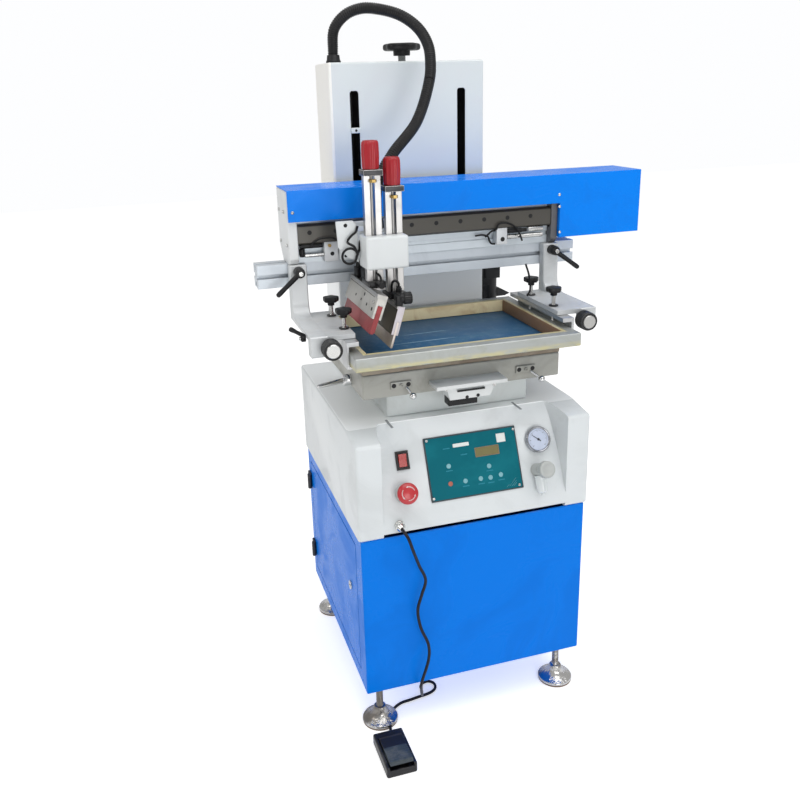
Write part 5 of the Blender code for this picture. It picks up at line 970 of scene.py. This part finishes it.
extruded = finish("extruded_aluminium", (0.62, 0.67, 0.72), 0.40, 0.35, shade=(0.50, 0.54, 0.58), dust=0.35, edge=0.4,
                  edge_colour=(0.75, 0.75, 0.76), grain_scale=260.0, drawn=(0.05, 1.0, 1.0), depth=0.00006)
rail_steel = finish("beam_aluminium", (0.70, 0.76, 0.81), 0.38, 0.3, shade=(0.58, 0.63, 0.67), dust=0.3,
                    grain_scale=300.0, drawn=(0.04, 1.0, 1.0), depth=0.00005)
GUIDE_RAIL_BACK = 0.0340
coloured_where(rail_steel, "Y", GUIDE_RAIL_BACK, (0.085, 0.080, 0.070))
coat("beam", rail_steel)
coat("frame_rail", extruded)
plate_white = finish("end_plate_white", (0.74, 0.76, 0.77), 0.42, shade=(0.64, 0.65, 0.66), dust=0.25, edge=0.4,
                     edge_colour=(0.6, 0.6, 0.6))
plate_dark = finish("end_plate_dark", (0.13, 0.13, 0.14), 0.42, 0.6, shade=(0.2, 0.2, 0.2), dust=0.3, edge=0.6,
                    edge_colour=(0.45, 0.45, 0.45))
coat("end_plate_left", plate_white)
coat("end_plate_right", plate_dark)
coat("lift_bracket", plate_dark)
cover_blue = finish("cover_blue_coat", (0.000, 0.222, 0.890), 0.32, shade=(0.000, 0.190, 0.790), shade_share=0.6,
                    dust=0.12, edge=0.4, edge_colour=(0.08, 0.34, 0.9), grain_scale=400.0, depth=0.0002, swing=0.14,
                    bends=1.24)
coat("beam_cover", cover_blue)
rivets = [(-0.3355, 1.0080), (0.2176, 1.0077), (0.2185, 0.9835), (0.2204, 0.9310)]
rivet_head = [(0.0030, 0.0), (0.0029, 0.0006), (0.0020, 0.0013), (0.0004, 0.0016)]
piece("cover_rivets", [turned(rivet_head, (x, 0.01185, z), TO_FRONT, 18) for x, z in rivets], bright_screw, "head")
end_plate_corners = ((0.0524, 1.0055), (0.0330, 0.9441), (0.1000, 0.9441), (0.1000, 1.0055))
piece("end_plate_screws", [socket_screw((-0.3447, y, z), TO_LEFT, 0.0034) for y, z in end_plate_corners],
      bright_screw, "head")
RAIL_FIRST_HOLE, RAIL_LAST_HOLE, RAIL_HOLE_PITCH = -0.3034, 0.19, 0.0513
piece("guide_rail_holes", [bored((x, 0.02185, 0.9672), 0.0044, height=0.00015, steps=20)
                           for x in np.arange(RAIL_FIRST_HOLE, RAIL_LAST_HOLE, RAIL_HOLE_PITCH)], hole_painted_shade, "head")

sensor_black = finish("sensor_black", (0.007, 0.007, 0.008), 0.35, shade=(0.016, 0.016, 0.018), dust=0.08,
                      grain_scale=1400.0, depth=0.00003, bends=1.35)
stop_white = finish("stop_block_white", (0.68, 0.70, 0.72), 0.4, 0.2, shade=(0.55, 0.56, 0.58), dust=0.25, edge=0.3,
                    edge_colour=(0.8, 0.8, 0.8))
brass = finish("brass_fitting", (0.55, 0.38, 0.13), 0.3, 1.0, shade=(0.35, 0.24, 0.09), dust=0.2)
piece("rail_stops",
      [block((-0.2761, 0.0226, 0.9085), (-0.2480, 0.0386, 0.9470), 0.0015),
       block((0.0825, 0.0200, 0.9132), (0.1063, 0.0386, 0.9470), 0.0015)], stop_white, "head")
piece("rail_stop_holes", [bored((-0.2607, 0.0227, 0.9236), 0.0040), bored((0.0959, 0.0201, 0.9243), 0.0048)],
      hole_painted_shade, "head")
piece("rail_sensors",
      [turned([(0.0034, 0.0), (0.0042, 0.0006), (0.0042, 0.0430), (0.0034, 0.0440)], (-0.3222, 0.0270, 0.9405),
              TO_RIGHT, 20),
       turned([(0.0056, 0.0), (0.0056, 0.0120), (0.0050, 0.0122), (0.0050, 0.0150)], (-0.3190, 0.0270, 0.9360),
              (0, 0, -1), 12),
       turned([(0.0040, 0.0), (0.0048, 0.0006), (0.0048, 0.0310), (0.0040, 0.0316), (0.0040, 0.0420)],
              (0.1070, 0.0220, 0.9400), TO_RIGHT, 20)], sensor_black, "head")
piece("rail_dampers",
      [turned([(0.0028, 0.0), (0.0036, 0.0006), (0.0036, 0.0370), (0.0020, 0.0376), (0.0020, 0.0400)],
              (-0.3140, 0.0280, 0.9225), TO_RIGHT, 20),
       turned([(0.0046, 0.0), (0.0052, 0.0008), (0.0052, 0.0330), (0.0046, 0.0340)], (0.1531, 0.0240, 0.9405),
              TO_RIGHT, 24),
       turned([(0.0042, 0.0), (0.0048, 0.0006), (0.0048, 0.0790), (0.0042, 0.0796)], (0.1076, 0.0260, 0.9272),
              TO_RIGHT, 24)], bright_screw, "head")
piece("rail_brass",
      [turned([(0.0030, 0.0), (0.0034, 0.0004), (0.0034, 0.0040), (0.0018, 0.0044), (0.0018, 0.0070)],
              (-0.2660, 0.0226, 0.9400), TO_FRONT, 6)], brass, "head")


LEAD_RADIUS = 0.0019


def tube(points, radius, spacing=0.003):
    """A round line along a smooth route."""
    return pipe(smooth_route(points, spacing), radius, (0.31, 0.52, 0.79), 16)


lead_black = finish("sensor_lead_black", (0.006, 0.006, 0.007), 0.42, shade=(0.014, 0.014, 0.016), dust=0.08,
                    grain_scale=1500.0, depth=0.00002, bends=1.35)
piece("sensor_leads",
      [tube([(-0.3031, 0.0215, 0.9420), (-0.2970, 0.0180, 0.9480), (-0.2868, 0.0175, 0.9541),
             (-0.2709, 0.0175, 0.9560), (-0.2590, 0.0180, 0.9545), (-0.2520, 0.0190, 0.9500)], LEAD_RADIUS),
       tube([(0.0400, 0.0310, 0.9335), (0.0540, 0.0280, 0.9350), (0.0660, 0.0270, 0.9310), (0.0700, 0.0270, 0.9210),
             (0.0740, 0.0270, 0.9160), (0.0815, 0.0260, 0.9150)], LEAD_RADIUS),
       tube([(0.0610, 0.0290, 0.9300), (0.0680, 0.0260, 0.9370), (0.0740, 0.0245, 0.9420), (0.0815, 0.0240, 0.9430)],
            LEAD_RADIUS),
       tube([(0.0800, 0.0165, 0.9450), (0.0850, 0.0160, 0.9560), (0.1000, 0.0155, 0.9580), (0.1189, 0.0155, 0.9500),
             (0.1320, 0.0160, 0.9330), (0.1378, 0.0165, 0.9188)], LEAD_RADIUS)], lead_black, "head")
piece("screen_stay",
      [tube([(0.1278, -0.0232, 0.8780), (0.1359, -0.0232, 0.8537), (0.1389, -0.0232, 0.8232),
             (0.1324, -0.0232, 0.8112)], 0.0020)], lead_black, "head")

# ---------------------------------------------------------------------------------------------------------
# Arms, clamps and dials
# Two pale cast arms hang from the slotted cross rail. Each carries a black clamping lever, two star knobs
# that press the screen's channel, and at its front a knurled micrometer dial with a bright cap.

arm_cast = finish("arm_cast", (0.64, 0.66, 0.67), 0.44, 0.2, shade=(0.52, 0.54, 0.55), shade_share=0.7, dust=0.3,
                  edge=0.5, edge_colour=(0.76, 0.76, 0.76), grain_scale=480.0, depth=0.00014)
channel_aluminium = finish("channel_aluminium", (0.60, 0.61, 0.62), 0.36, 0.8, shade=(0.45, 0.46, 0.47), dust=0.3,
                           edge=0.5, edge_colour=(0.75, 0.75, 0.75), grain_scale=260.0, drawn=(1.0, 0.05, 1.0),
                           depth=0.00006)
knurled_black = finish("knurled_black", (0.010, 0.010, 0.011), 0.42, 0.2, shade=(0.03, 0.03, 0.033), dust=0.12,
                       edge=0.5, edge_colour=(0.3, 0.3, 0.3))
ARM_FRONT, CLAMP_HEIGHT = 0.02155, 0.8945
clamp_root, clamp_tip = np.array([-0.3468, -0.100, 0.7990]), np.array([-0.3747, -0.102, 0.8173])
clamp_hub = [(0.0060, 0.0), (0.0064, 0.0010), (0.0064, 0.0070), (0.0050, 0.0085)]
clamp_line = [(0.0034, 0.0), (0.0040, 0.006), (0.0036, 0.020), (0.0046, 0.029), (0.0040, 0.0330), (0.0016, 0.0345)]
piece("arm_edge_clamp", [turned(clamp_hub, (-0.3466, -0.100, 0.7960), TO_LEFT, 20),
                         turned(clamp_line, clamp_root, clamp_tip - clamp_root, 20)], knob_black, "head")
piece("arm_edge_clamp_screw", [socket_screw((-0.3550, -0.100, 0.7960), TO_LEFT, 0.0034)], bright_screw, "head")
lever_hub = [(0.0092, 0.0003), (0.0100, 0.0010), (0.0100, 0.0140), (0.0095, 0.0205), (0.0086, 0.0238),
             (0.0052, 0.0241)]
lever_line = [(0.0048, 0.0), (0.0052, 0.010), (0.0046, 0.040), (0.0050, 0.056), (0.0044, 0.0615), (0.0020, 0.0635)]
knob_head = [(0.0135, 0.8350), (0.0152, 0.8356), (0.0160, 0.8374), (0.0160, 0.8428), (0.0152, 0.8444),
             (0.0135, 0.8450), (0.0030, 0.8450)]
knob_neck = [(0.0064, 0.8281), (0.0067, 0.8290), (0.0067, 0.8352)]
knob_stem = threaded(0.0040, 0.0004, np.arange(0.7774, 0.8330, 0.0010))
knob_washer = [(0.0090, 0.8073), (0.0094, 0.8076), (0.0094, 0.8086), (0.0090, 0.8090), (0.0052, 0.8090)]
dial_line = [(0.0108, 0.0, 0), (0.0108, 0.0080, 0), (0.0172, 0.0086, 0), (0.0180, 0.0100, 1), (0.0180, 0.0320, 1),
             (0.0173, 0.0338, 0.2), (0.0135, 0.0342, 0)]
dial_cap = [(0.0128, 0.0338), (0.0128, 0.0350), (0.0118, 0.0360), (0.0020, 0.0360)]
for side, label in ((-1, "left"), (1, "right")):
    arm = merged(f"arm_{label}", f"cast_arm_{label}", arm_cast, "head")
    coat(f"screen_channel_{label}", channel_aluminium)
    hub_x = MACHINE_MIDDLE + side * 0.2685
    tip = np.array([hub_x + side * 0.0496, -0.0088, 0.8561])
    root = np.array([hub_x, 0.0045, CLAMP_HEIGHT])
    arm_lever = piece(f"clamp_lever_{label}",
                      [turned(lever_hub, (hub_x, ARM_FRONT, CLAMP_HEIGHT), TO_FRONT),
                       turned(lever_line, root, tip - root, 24)], knob_black, f"lever_{label}")
    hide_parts(f"lever_{label}")
    piece(f"lever_screw_{label}", [socket_screw((hub_x, ARM_FRONT - 0.0240, CLAMP_HEIGHT), TO_FRONT, 0.0045)],
          bright_screw, f"lever_{label}")
    for row, knob_y in (("front", -0.101151), ("rear", -0.001151)):
        at = (MACHINE_MIDDLE + side * 0.213, knob_y, 0.0)
        knob = piece(f"{row}_star_knob_{label}", [lobed(knob_head, at, steps=40), turned(knob_neck, at, steps=24)],
                     knob_black, f"{row}_knob_{label}")
        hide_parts(f"{row}_knob_{label}")
        piece(f"{row}_knob_stem_{label}", [turned(knob_stem, at, steps=16)], bright_screw, f"{row}_knob_{label}")
        piece(f"{row}_knob_washer_{label}", [turned(knob_washer, at, steps=32)], knob_black, "head")
    dial_at = (MACHINE_MIDDLE + side * 0.2515, -0.141451, 0.788)
    knurl = piece(f"micrometer_dial_{label}", [fluted(dial_line, dial_at, TO_FRONT, 40, 0.07, 4)],
                  knurled_black, f"dial_{label}", 60.0)
    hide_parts(f"dial_{label}")
    piece(f"dial_cap_{label}", [turned(dial_cap, dial_at, TO_FRONT)], bright_screw, f"dial_{label}")

# ---------------------------------------------------------------------------------------------------------
# Printing screen
# An aluminium frame lined with wood, glued over with blue polyester mesh that carries dried ink. The glue
# has yellowed round the edges of the window.

screen_metal = finish("screen_frame_metal", (0.42, 0.44, 0.43), 0.40, 0.45, shade=(0.34, 0.35, 0.30), shade_share=0.8,
                      dust=0.3, edge=0.5, edge_colour=(0.72, 0.72, 0.70), grain_scale=300.0, depth=0.00008)
lining_wood = finish("lining_wood", (0.97, 0.83, 0.52), 0.55, shade=(0.70, 0.50, 0.26), shade_share=0.8, dust=0.1,
                     grain_scale=220.0, drawn=(0.25, 0.25, 3.0), depth=0.0002)
# Painted shade: the lining's right board is painted dark brown for the shade on that side of the window.
SHADED_RIGHT_BOARD = 0.1305
coloured_where(lining_wood, "X", SHADED_RIGHT_BOARD, (0.26, 0.150, 0.085), below=False)
dried_glue = finish("dried_glue", (0.50, 0.44, 0.24), 0.45, shade=(0.60, 0.57, 0.42), shade_share=0.9,
                    grain_scale=500.0, depth=0.0002)
mesh_blue = finish("mesh_blue", (0.030, 0.115, 0.240), 0.46, shade=(0.060, 0.155, 0.260), shade_share=0.8, dust=0.12,
                   dust_colour=(0.35, 0.45, 0.50), grain_scale=2600.0, depth=0.00006, size=60.0, bends=1.25)
tree = screen_metal.node_tree
place, measure = place_in(tree)
drawn_down = node(tree, "VectorMath", {0: place, 1: (1.0, 1.0, 6.0)}, operation="MULTIPLY").outputs["Vector"]
drips = node(tree, "TexNoise", {"Vector": drawn_down, "Scale": 34.0, "Detail": 6.0, "Roughness": 0.65}).outputs["Fac"]
low_edge = spread(tree, measure["Z"], 0.7650, 0.7560)
stained = reckon(tree, "MULTIPLY", low_edge, spread(tree, drips, 0.36, 0.58, 0.15, 0.9))
colour_over(screen_metal, stained, (0.56, 0.52, 0.30))
coat("screen_frame", screen_metal)
WINDOW_LEFT, WINDOW_RIGHT, WINDOW_FRONT, WINDOW_REAR = -0.255, 0.133, -0.177151, 0.095849
LINING_FOOT, LINING_TOP, GLUE_TOP = 0.7524, 0.7766, 0.7773
BOARD, GLUE_OUT, GLUE_IN = 0.0022, 0.006, 0.001


def strips(outlines, low, high, radius):
    """Flat blocks between two heights, each from its left, right, front and rear."""
    return [block((left, front, low), (right, rear, high), radius) for left, right, front, rear in outlines]


lining = [(WINDOW_LEFT, WINDOW_LEFT + BOARD, WINDOW_FRONT, WINDOW_REAR),
          (WINDOW_RIGHT - BOARD, WINDOW_RIGHT, WINDOW_FRONT, WINDOW_REAR),
          (WINDOW_LEFT + BOARD, WINDOW_RIGHT - BOARD, WINDOW_FRONT, WINDOW_FRONT + BOARD),
          (WINDOW_LEFT + BOARD, WINDOW_RIGHT - BOARD, WINDOW_REAR - BOARD, WINDOW_REAR)]
piece("screen_lining", strips(lining, LINING_FOOT, LINING_TOP, 0.0004), lining_wood, "head")
glue = [(WINDOW_LEFT - GLUE_OUT, WINDOW_LEFT + GLUE_IN, WINDOW_FRONT - GLUE_OUT, WINDOW_REAR + GLUE_OUT),
        (WINDOW_RIGHT - GLUE_IN, WINDOW_RIGHT + GLUE_OUT, WINDOW_FRONT - GLUE_OUT, WINDOW_REAR + GLUE_OUT),
        (WINDOW_LEFT, WINDOW_RIGHT, WINDOW_FRONT - GLUE_OUT, WINDOW_FRONT + GLUE_IN),
        (WINDOW_LEFT, WINDOW_RIGHT, WINDOW_REAR - GLUE_IN, WINDOW_REAR + GLUE_OUT)]
piece("screen_glue", strips(glue, LINING_TOP, GLUE_TOP, 0.0003), dried_glue, "head")
cloth = piece("screen_cloth", [block((-0.261, -0.197151, 0.7512), (0.139, 0.115849, 0.7515), 0.0001)], mesh_blue,
              "head")
ink_pale = finish("dried_ink_streak", (0.30, 0.46, 0.60), 0.5, shade=(0.16, 0.32, 0.46), shade_share=0.9,
                  grain_scale=900.0, depth=0.00004, bends=1.25)
streaks = [[(-0.1330, -0.0064), (-0.0880, -0.0052), (-0.0326, -0.0030), (-0.0500, -0.0010), (-0.1100, -0.0034)],
           [(-0.1690, -0.0606), (-0.1000, -0.0596), (-0.0336, -0.0572), (-0.0640, -0.0548), (-0.1400, -0.0576)]]
piece("ink_streaks", [plate(outline, 0.75150, 0.75165, np.eye(3), edge=0.00004) for outline in streaks], ink_pale,
      "head")
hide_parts("screen_mesh")

# ---------------------------------------------------------------------------------------------------------
# Carriage and print units
# The carriage runs on the guide rail and carries the squeegee and the flood bar on twin bars, each set by
# a red fluted knob over a dark flange. Air fittings and short lines hang under its white cover.

carriage_white = finish("carriage_white", (0.70, 0.73, 0.74), 0.34, coat=0.2, shade=(0.66, 0.68, 0.69), dust=0.2,
                        edge=0.3, edge_colour=(0.84, 0.84, 0.84))
coat("carriage_plate", carriage_white)
coat("carriage_cover", carriage_white)
bar_aluminium = finish("unit_bar_aluminium", (0.58, 0.57, 0.56), 0.34, 0.9, shade=(0.40, 0.39, 0.38), dust=0.2,
                       edge=0.4, edge_colour=(0.8, 0.8, 0.8), grain_scale=300.0, drawn=(1.0, 1.0, 0.06),
                       depth=0.00004)
coat("squeegee_slide", bar_aluminium)
coat("flood_slide", bar_aluminium)
flange_dark = finish("flange_dark", (0.05, 0.05, 0.055), 0.4, 0.4, shade=(0.12, 0.12, 0.12), dust=0.3, edge=0.6,
                     edge_colour=(0.4, 0.4, 0.4))
grip_red = finish("grip_red", (0.36, 0.010, 0.018), 0.36, coat=0.1, shade=(0.30, 0.010, 0.014), dust=0.15,
                  dust_colour=(0.5, 0.28, 0.27), edge=0.4, edge_colour=(0.62, 0.10, 0.10), grain_scale=800.0)
urethane = finish("urethane_red", (0.34, 0.045, 0.050), 0.38, shade=(0.24, 0.03, 0.035), shade_share=0.8, dust=0.3,
                  edge=0.5, edge_colour=(0.55, 0.04, 0.05), grain_scale=500.0)
# Partly painted reflection: the polished flood bar's steel is tinted pink for the red squeegee it reflects.
flood_steel_and_reflection = finish("flood_bar_steel_and_pink_reflection", (0.78, 0.70, 0.66), 0.34, 0.75, shade=(0.60, 0.52, 0.46), dust=0.1,
                     grain_scale=240.0, drawn=(1.0, 0.05, 1.0), depth=0.00004)
coat("squeegee_blade", urethane)
coat("flood_blade", flood_steel_and_reflection)
UNIT_Y = -0.081151
red_knob = [(0.0120, 0.0003, 0), (0.0150, 0.0010, 0.5), (0.0157, 0.0040, 1), (0.0165, 0.0270, 1), (0.0160, 0.0440, 1),
            (0.0148, 0.0480, 0.5), (0.0126, 0.0500, 0), (0.0110, 0.0500, 0), (0.0106, 0.0490, 0), (0.0004, 0.0488, 0)]
brass_nut = [(0.0062, 0.0), (0.0068, 0.0006), (0.0068, 0.0050), (0.0062, 0.0056)]
for unit, unit_x, flange_z in (("squeegee", -0.207, 1.078), ("flood", -0.168, 1.048)):
    at = (unit_x, UNIT_Y, flange_z + 0.010)
    knob = piece(f"{unit}_red_knob", [fluted(red_knob, at, UP, 10, 0.10, 8)], grip_red, unit, 50.0)
    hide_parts(f"{unit}_knob")
    wings = block((unit_x - 0.0179, UNIT_Y - 0.0164, flange_z - 0.0004),
                  (unit_x + 0.0179, UNIT_Y + 0.0164, flange_z + 0.0102), 0.002)
    piece(f"{unit}_wing_flange", [wings], flange_dark, unit)
    piece(f"{unit}_brass_nut", [turned(brass_nut, (unit_x, UNIT_Y - 0.0125, flange_z - 0.0120), UP, 6)], brass, unit)
plate_corners = ((-0.2380, 0.9760), (-0.1370, 0.9760), (-0.2380, 0.9200), (-0.1370, 0.9200))
piece("carriage_plate_hole", [bored((x, 0.0068, z), 0.0030) for x, z in plate_corners], hole_painted_shade, "carriage")


def leaned(x, top, tilt):
    """A blade holder's top, its direction across to the right and its direction down to the blade, turned
    about the front-to-back axis by its tilt."""
    t = math.radians(tilt)
    right, down = np.array([math.cos(t), 0.0, -math.sin(t)]), np.array([-math.sin(t), 0.0, -math.cos(t)])
    return np.array([x, 0.0, top]), right, down


holder_satin = finish("holder_satin", (0.58, 0.57, 0.54), 0.46, 0.55, shade=(0.46, 0.45, 0.42), shade_share=0.8,
                      dust=0.3, edge=0.5, edge_colour=(0.78, 0.78, 0.76), grain_scale=500.0, depth=0.0001)
# Painted shade: the flood holder's face is a dark olive for the shade between the two print units.
flood_holder_shade = finish("flood_holder_painted_shade", (0.085, 0.078, 0.055), 0.32, 0.6, shade=(0.19, 0.17, 0.12),
                     shade_share=0.9, dust=0.2, edge=0.5, edge_colour=(0.3, 0.28, 0.24), grain_scale=500.0,
                     depth=0.0001)
holder_end = finish("holder_end_plate", (0.62, 0.58, 0.62), 0.45, 0.3, shade=(0.50, 0.46, 0.47), dust=0.2, edge=0.4,
                    edge_colour=(0.75, 0.74, 0.75))
FRONT_END, REAR_END = -0.15815, 0.03285
forward = np.array([0.0, 1.0, 0.0])
at, right, down = leaned(-0.2127, 0.875, 20.0)
face = (forward, down, -right)
side_face = [(FRONT_END, 0.0066), (REAR_END, 0.0066), (REAR_END, 0.0448), (FRONT_END, 0.0448)]
piece("squeegee_holder_face", [plate(side_face, 0.0088, 0.0094, face, at)], holder_satin, "squeegee")
end_outline = [(-0.0108, 0.0003), (0.0088, 0.0003), (0.0088, 0.0448), (0.0046, 0.0448), (0.0046, 0.0190),
               (-0.0046, 0.0190), (-0.0046, 0.0448), (-0.0088, 0.0448), (-0.0088, 0.0062), (-0.0108, 0.0062)]
piece("squeegee_holder_end",
      [plate(end_outline, 0.0, 0.0005, (right, down, -forward), at + FRONT_END * forward, 0.0001)], holder_satin,
      "squeegee")
# Dark discs in the holder's face and a dark groove strip: painted shade in the screw holes and the groove.
screw_places = ((-0.0321, 0.0276, 0.0026), (-0.0818, 0.0160, 0.0034), (-0.0703, 0.0285, 0.0026),
                (-0.1093, 0.0294, 0.0030), (-0.1440, 0.0303, 0.0036))
holder_screw_holes = [bored(at + y * forward + low * down - 0.0093 * right, radius, -right, 0.0004)
                 for y, low, radius in screw_places]
groove = [(-0.1420, 0.0082), (0.0300, 0.0082), (0.0300, 0.0092), (-0.1420, 0.0092)]
piece("squeegee_holder_screw_holes", [*holder_screw_holes, plate(groove, 0.0092, 0.0095, face, at, 0.0001)], hole_painted_shade,
      "squeegee")
piece("squeegee_holder_bolt", [socket_screw(at - 0.1470 * forward + 0.0165 * down - 0.0093 * right, -right, 0.0030)],
      bright_screw, "squeegee")
at, right, down = leaned(-0.179, 0.8515, 17.0)
face = (forward, down, -right)
side_face = [(FRONT_END, 0.0004), (REAR_END, 0.0004), (REAR_END, 0.0538), (FRONT_END, 0.0538)]
piece("flood_holder_face", [plate(side_face, 0.0063, 0.0070, face, at)], flood_holder_shade, "flood")
end_outline = [(-0.0068, 0.0004), (0.0063, 0.0004), (0.0063, 0.0538), (0.0022, 0.0538), (0.0022, 0.0290),
               (-0.0022, 0.0290), (-0.0022, 0.0538), (-0.0068, 0.0538)]
piece("flood_holder_end",
      [plate(end_outline, 0.0, 0.0005, (right, down, -forward), at + FRONT_END * forward, 0.0001)], holder_end,
      "flood")
screw_line = [(0.0040, 0.0, 0), (0.0040, 0.0050, 0), (0.0080, 0.0054, 0), (0.0086, 0.0070, 0), (0.0086, 0.0120, 0),
              (0.0104, 0.0124, 0.6), (0.0112, 0.0140, 1), (0.0112, 0.0255, 1), (0.0104, 0.0270, 0.5),
              (0.0060, 0.0272, 0)]
piece("flood_hand_screw",
      [fluted(screw_line, (-0.1880, -0.1555, 0.8662), TO_RIGHT, 16, 0.10, 4),
       block((-0.1900, -0.1620, 0.8535), (-0.1780, -0.1490, 0.8720), 0.0012)], knob_black, "flood")
piece("unit_fittings_squeegee",
      [block((-0.2232, -0.1016, 0.8755), (-0.1908, -0.0508, 0.8880), 0.0015),
       block((-0.2160, -0.0440, 0.8755), (-0.1980, -0.0140, 0.8990), 0.0020),
       turned([(0.0060, 0.0), (0.0064, 0.0008), (0.0064, 0.0080), (0.0050, 0.0084), (0.0050, 0.0110)],
              (-0.2075, -0.0290, 0.8985), UP, 20),
       block((-0.2190, 0.0010, 0.8755), (-0.2030, 0.0240, 0.8960), 0.0020),
       turned([(0.0050, 0.0), (0.0056, 0.0008), (0.0056, 0.0080), (0.0044, 0.0084), (0.0044, 0.0120)],
              (-0.2120, 0.0120, 0.8955), UP, 20),
       turned([(0.0048, 0.0), (0.0062, 0.0010), (0.0062, 0.0220), (0.0052, 0.0230)], (-0.2050, -0.1010, 0.8850),
              TO_FRONT, 20)], sensor_black, "squeegee")
piece("unit_fittings_flood",
      [block((-0.1842, -0.1016, 0.8520), (-0.1518, -0.0508, 0.8645), 0.0015),
       block((-0.1800, -0.1350, 0.8520), (-0.1660, -0.1080, 0.8700), 0.0020),
       turned([(0.0050, 0.0), (0.0056, 0.0008), (0.0056, 0.0080), (0.0044, 0.0084), (0.0044, 0.0110)],
              (-0.1730, -0.1210, 0.8695), UP, 20)], sensor_black, "flood")
piece("unit_lines_squeegee",
      [tube([(-0.2060, -0.0440, 0.8900), (-0.2040, -0.0560, 0.8980), (-0.2020, -0.0800, 0.9000),
             (-0.2010, -0.1000, 0.8960), (-0.2030, -0.1120, 0.8880), (-0.2060, -0.1200, 0.8800)], 0.0022)],
      lead_black, "squeegee")
piece("unit_lines_flood",
      [tube([(-0.1730, -0.1210, 0.8800), (-0.1735, -0.1230, 0.8860), (-0.1760, -0.1200, 0.8900),
             (-0.1790, -0.1080, 0.8880), (-0.1790, -0.0980, 0.8800), (-0.1770, -0.0900, 0.8660)], 0.0022)],
      lead_black, "flood")
side_outline = [(-0.2700, 0.9960), (-0.2380, 0.9960), (-0.2290, 0.9850), (-0.2290, 0.9180), (-0.2480, 0.9280),
                (-0.2670, 0.9480)]
piece("carriage_side_plate", [plate(side_outline, 0.0531, 0.0571, FACING_FRONT, edge=0.0006)], carriage_white,
      "carriage")
piece("carriage_side_hole", [bored((-0.2520, -0.0570, 0.9880), 0.0036)], hole_painted_shade, "carriage")
LOOP_RADIUS = 0.0145
around = np.radians([0, -45, -90, -135, -180, -225, -270, -315, -355])
ring = np.stack([-0.2478 + LOOP_RADIUS * np.cos(around), np.linspace(-0.0620, -0.0680, len(around)),
                 0.9325 + LOOP_RADIUS * np.sin(around)], axis=1)
piece("air_loop",
      [tube([(-0.2241, -0.0605, 0.9575), (-0.2262, -0.0605, 0.9480), *ring, (-0.2400, -0.0690, 0.9500),
             (-0.2520, -0.0670, 0.9590), (-0.2440, -0.0640, 0.9690), (-0.2340, -0.0615, 0.9760),
             (-0.2300, -0.0600, 0.9860)], 0.0023)], lead_black, "carriage")
piece("air_fittings",
      [turned([(0.0036, 0.0), (0.0044, 0.0006), (0.0044, 0.0170), (0.0036, 0.0176), (0.0030, 0.0200)],
              (-0.2262, -0.0610, 0.9400), (0.06, 0, 1), 12)], sensor_black, "carriage")

# ---------------------------------------------------------------------------------------------------------
# Pedal
# A dark moulded foot pedal that lies on the floor in front of the machine. Its treadle has a grey ribbed
# tread that rises to the front, behind a low front wall.

pedal_black = finish("pedal_black", (0.009, 0.009, 0.012), 0.36, shade=(0.016, 0.017, 0.020), dust=0.06, edge=0.3,
                     edge_colour=(0.16, 0.17, 0.18), grain_scale=420.0, depth=0.00015)
tread_grey = finish("tread_grey", (0.036, 0.050, 0.062), 0.46, shade=(0.052, 0.066, 0.078), dust=0.08, edge=0.3,
                    edge_colour=(0.12, 0.13, 0.14), grain_scale=420.0, depth=0.00015)
coat("pedal_base", pedal_black)
TREAD_END = -0.3020
coloured_where(tread_grey, "Y", TREAD_END, (0.009, 0.009, 0.012), below=False)
coat("pedal_treadle", tread_grey)
piece("pedal_front_wall", [block((-0.2885, -0.3479, 0.0004), (-0.2335, -0.3440, 0.0150), 0.0010)], pedal_black,
      "machine")
TREAD_REAR, TREAD_LOW, TREAD_RISE, TREAD_LENGTH = -0.27415, 0.0260, 0.007, 0.070
ribs = []
for y in np.linspace(-0.3400, -0.3080, 6):
    tread = TREAD_LOW + TREAD_RISE * (TREAD_REAR - y) / TREAD_LENGTH
    ribs.append(block((-0.2835, y - 0.0016, tread - 0.0006), (-0.2385, y + 0.0016, tread + 0.0003), 0.0004))
piece("tread_ribs", ribs, tread_grey, "treadle")
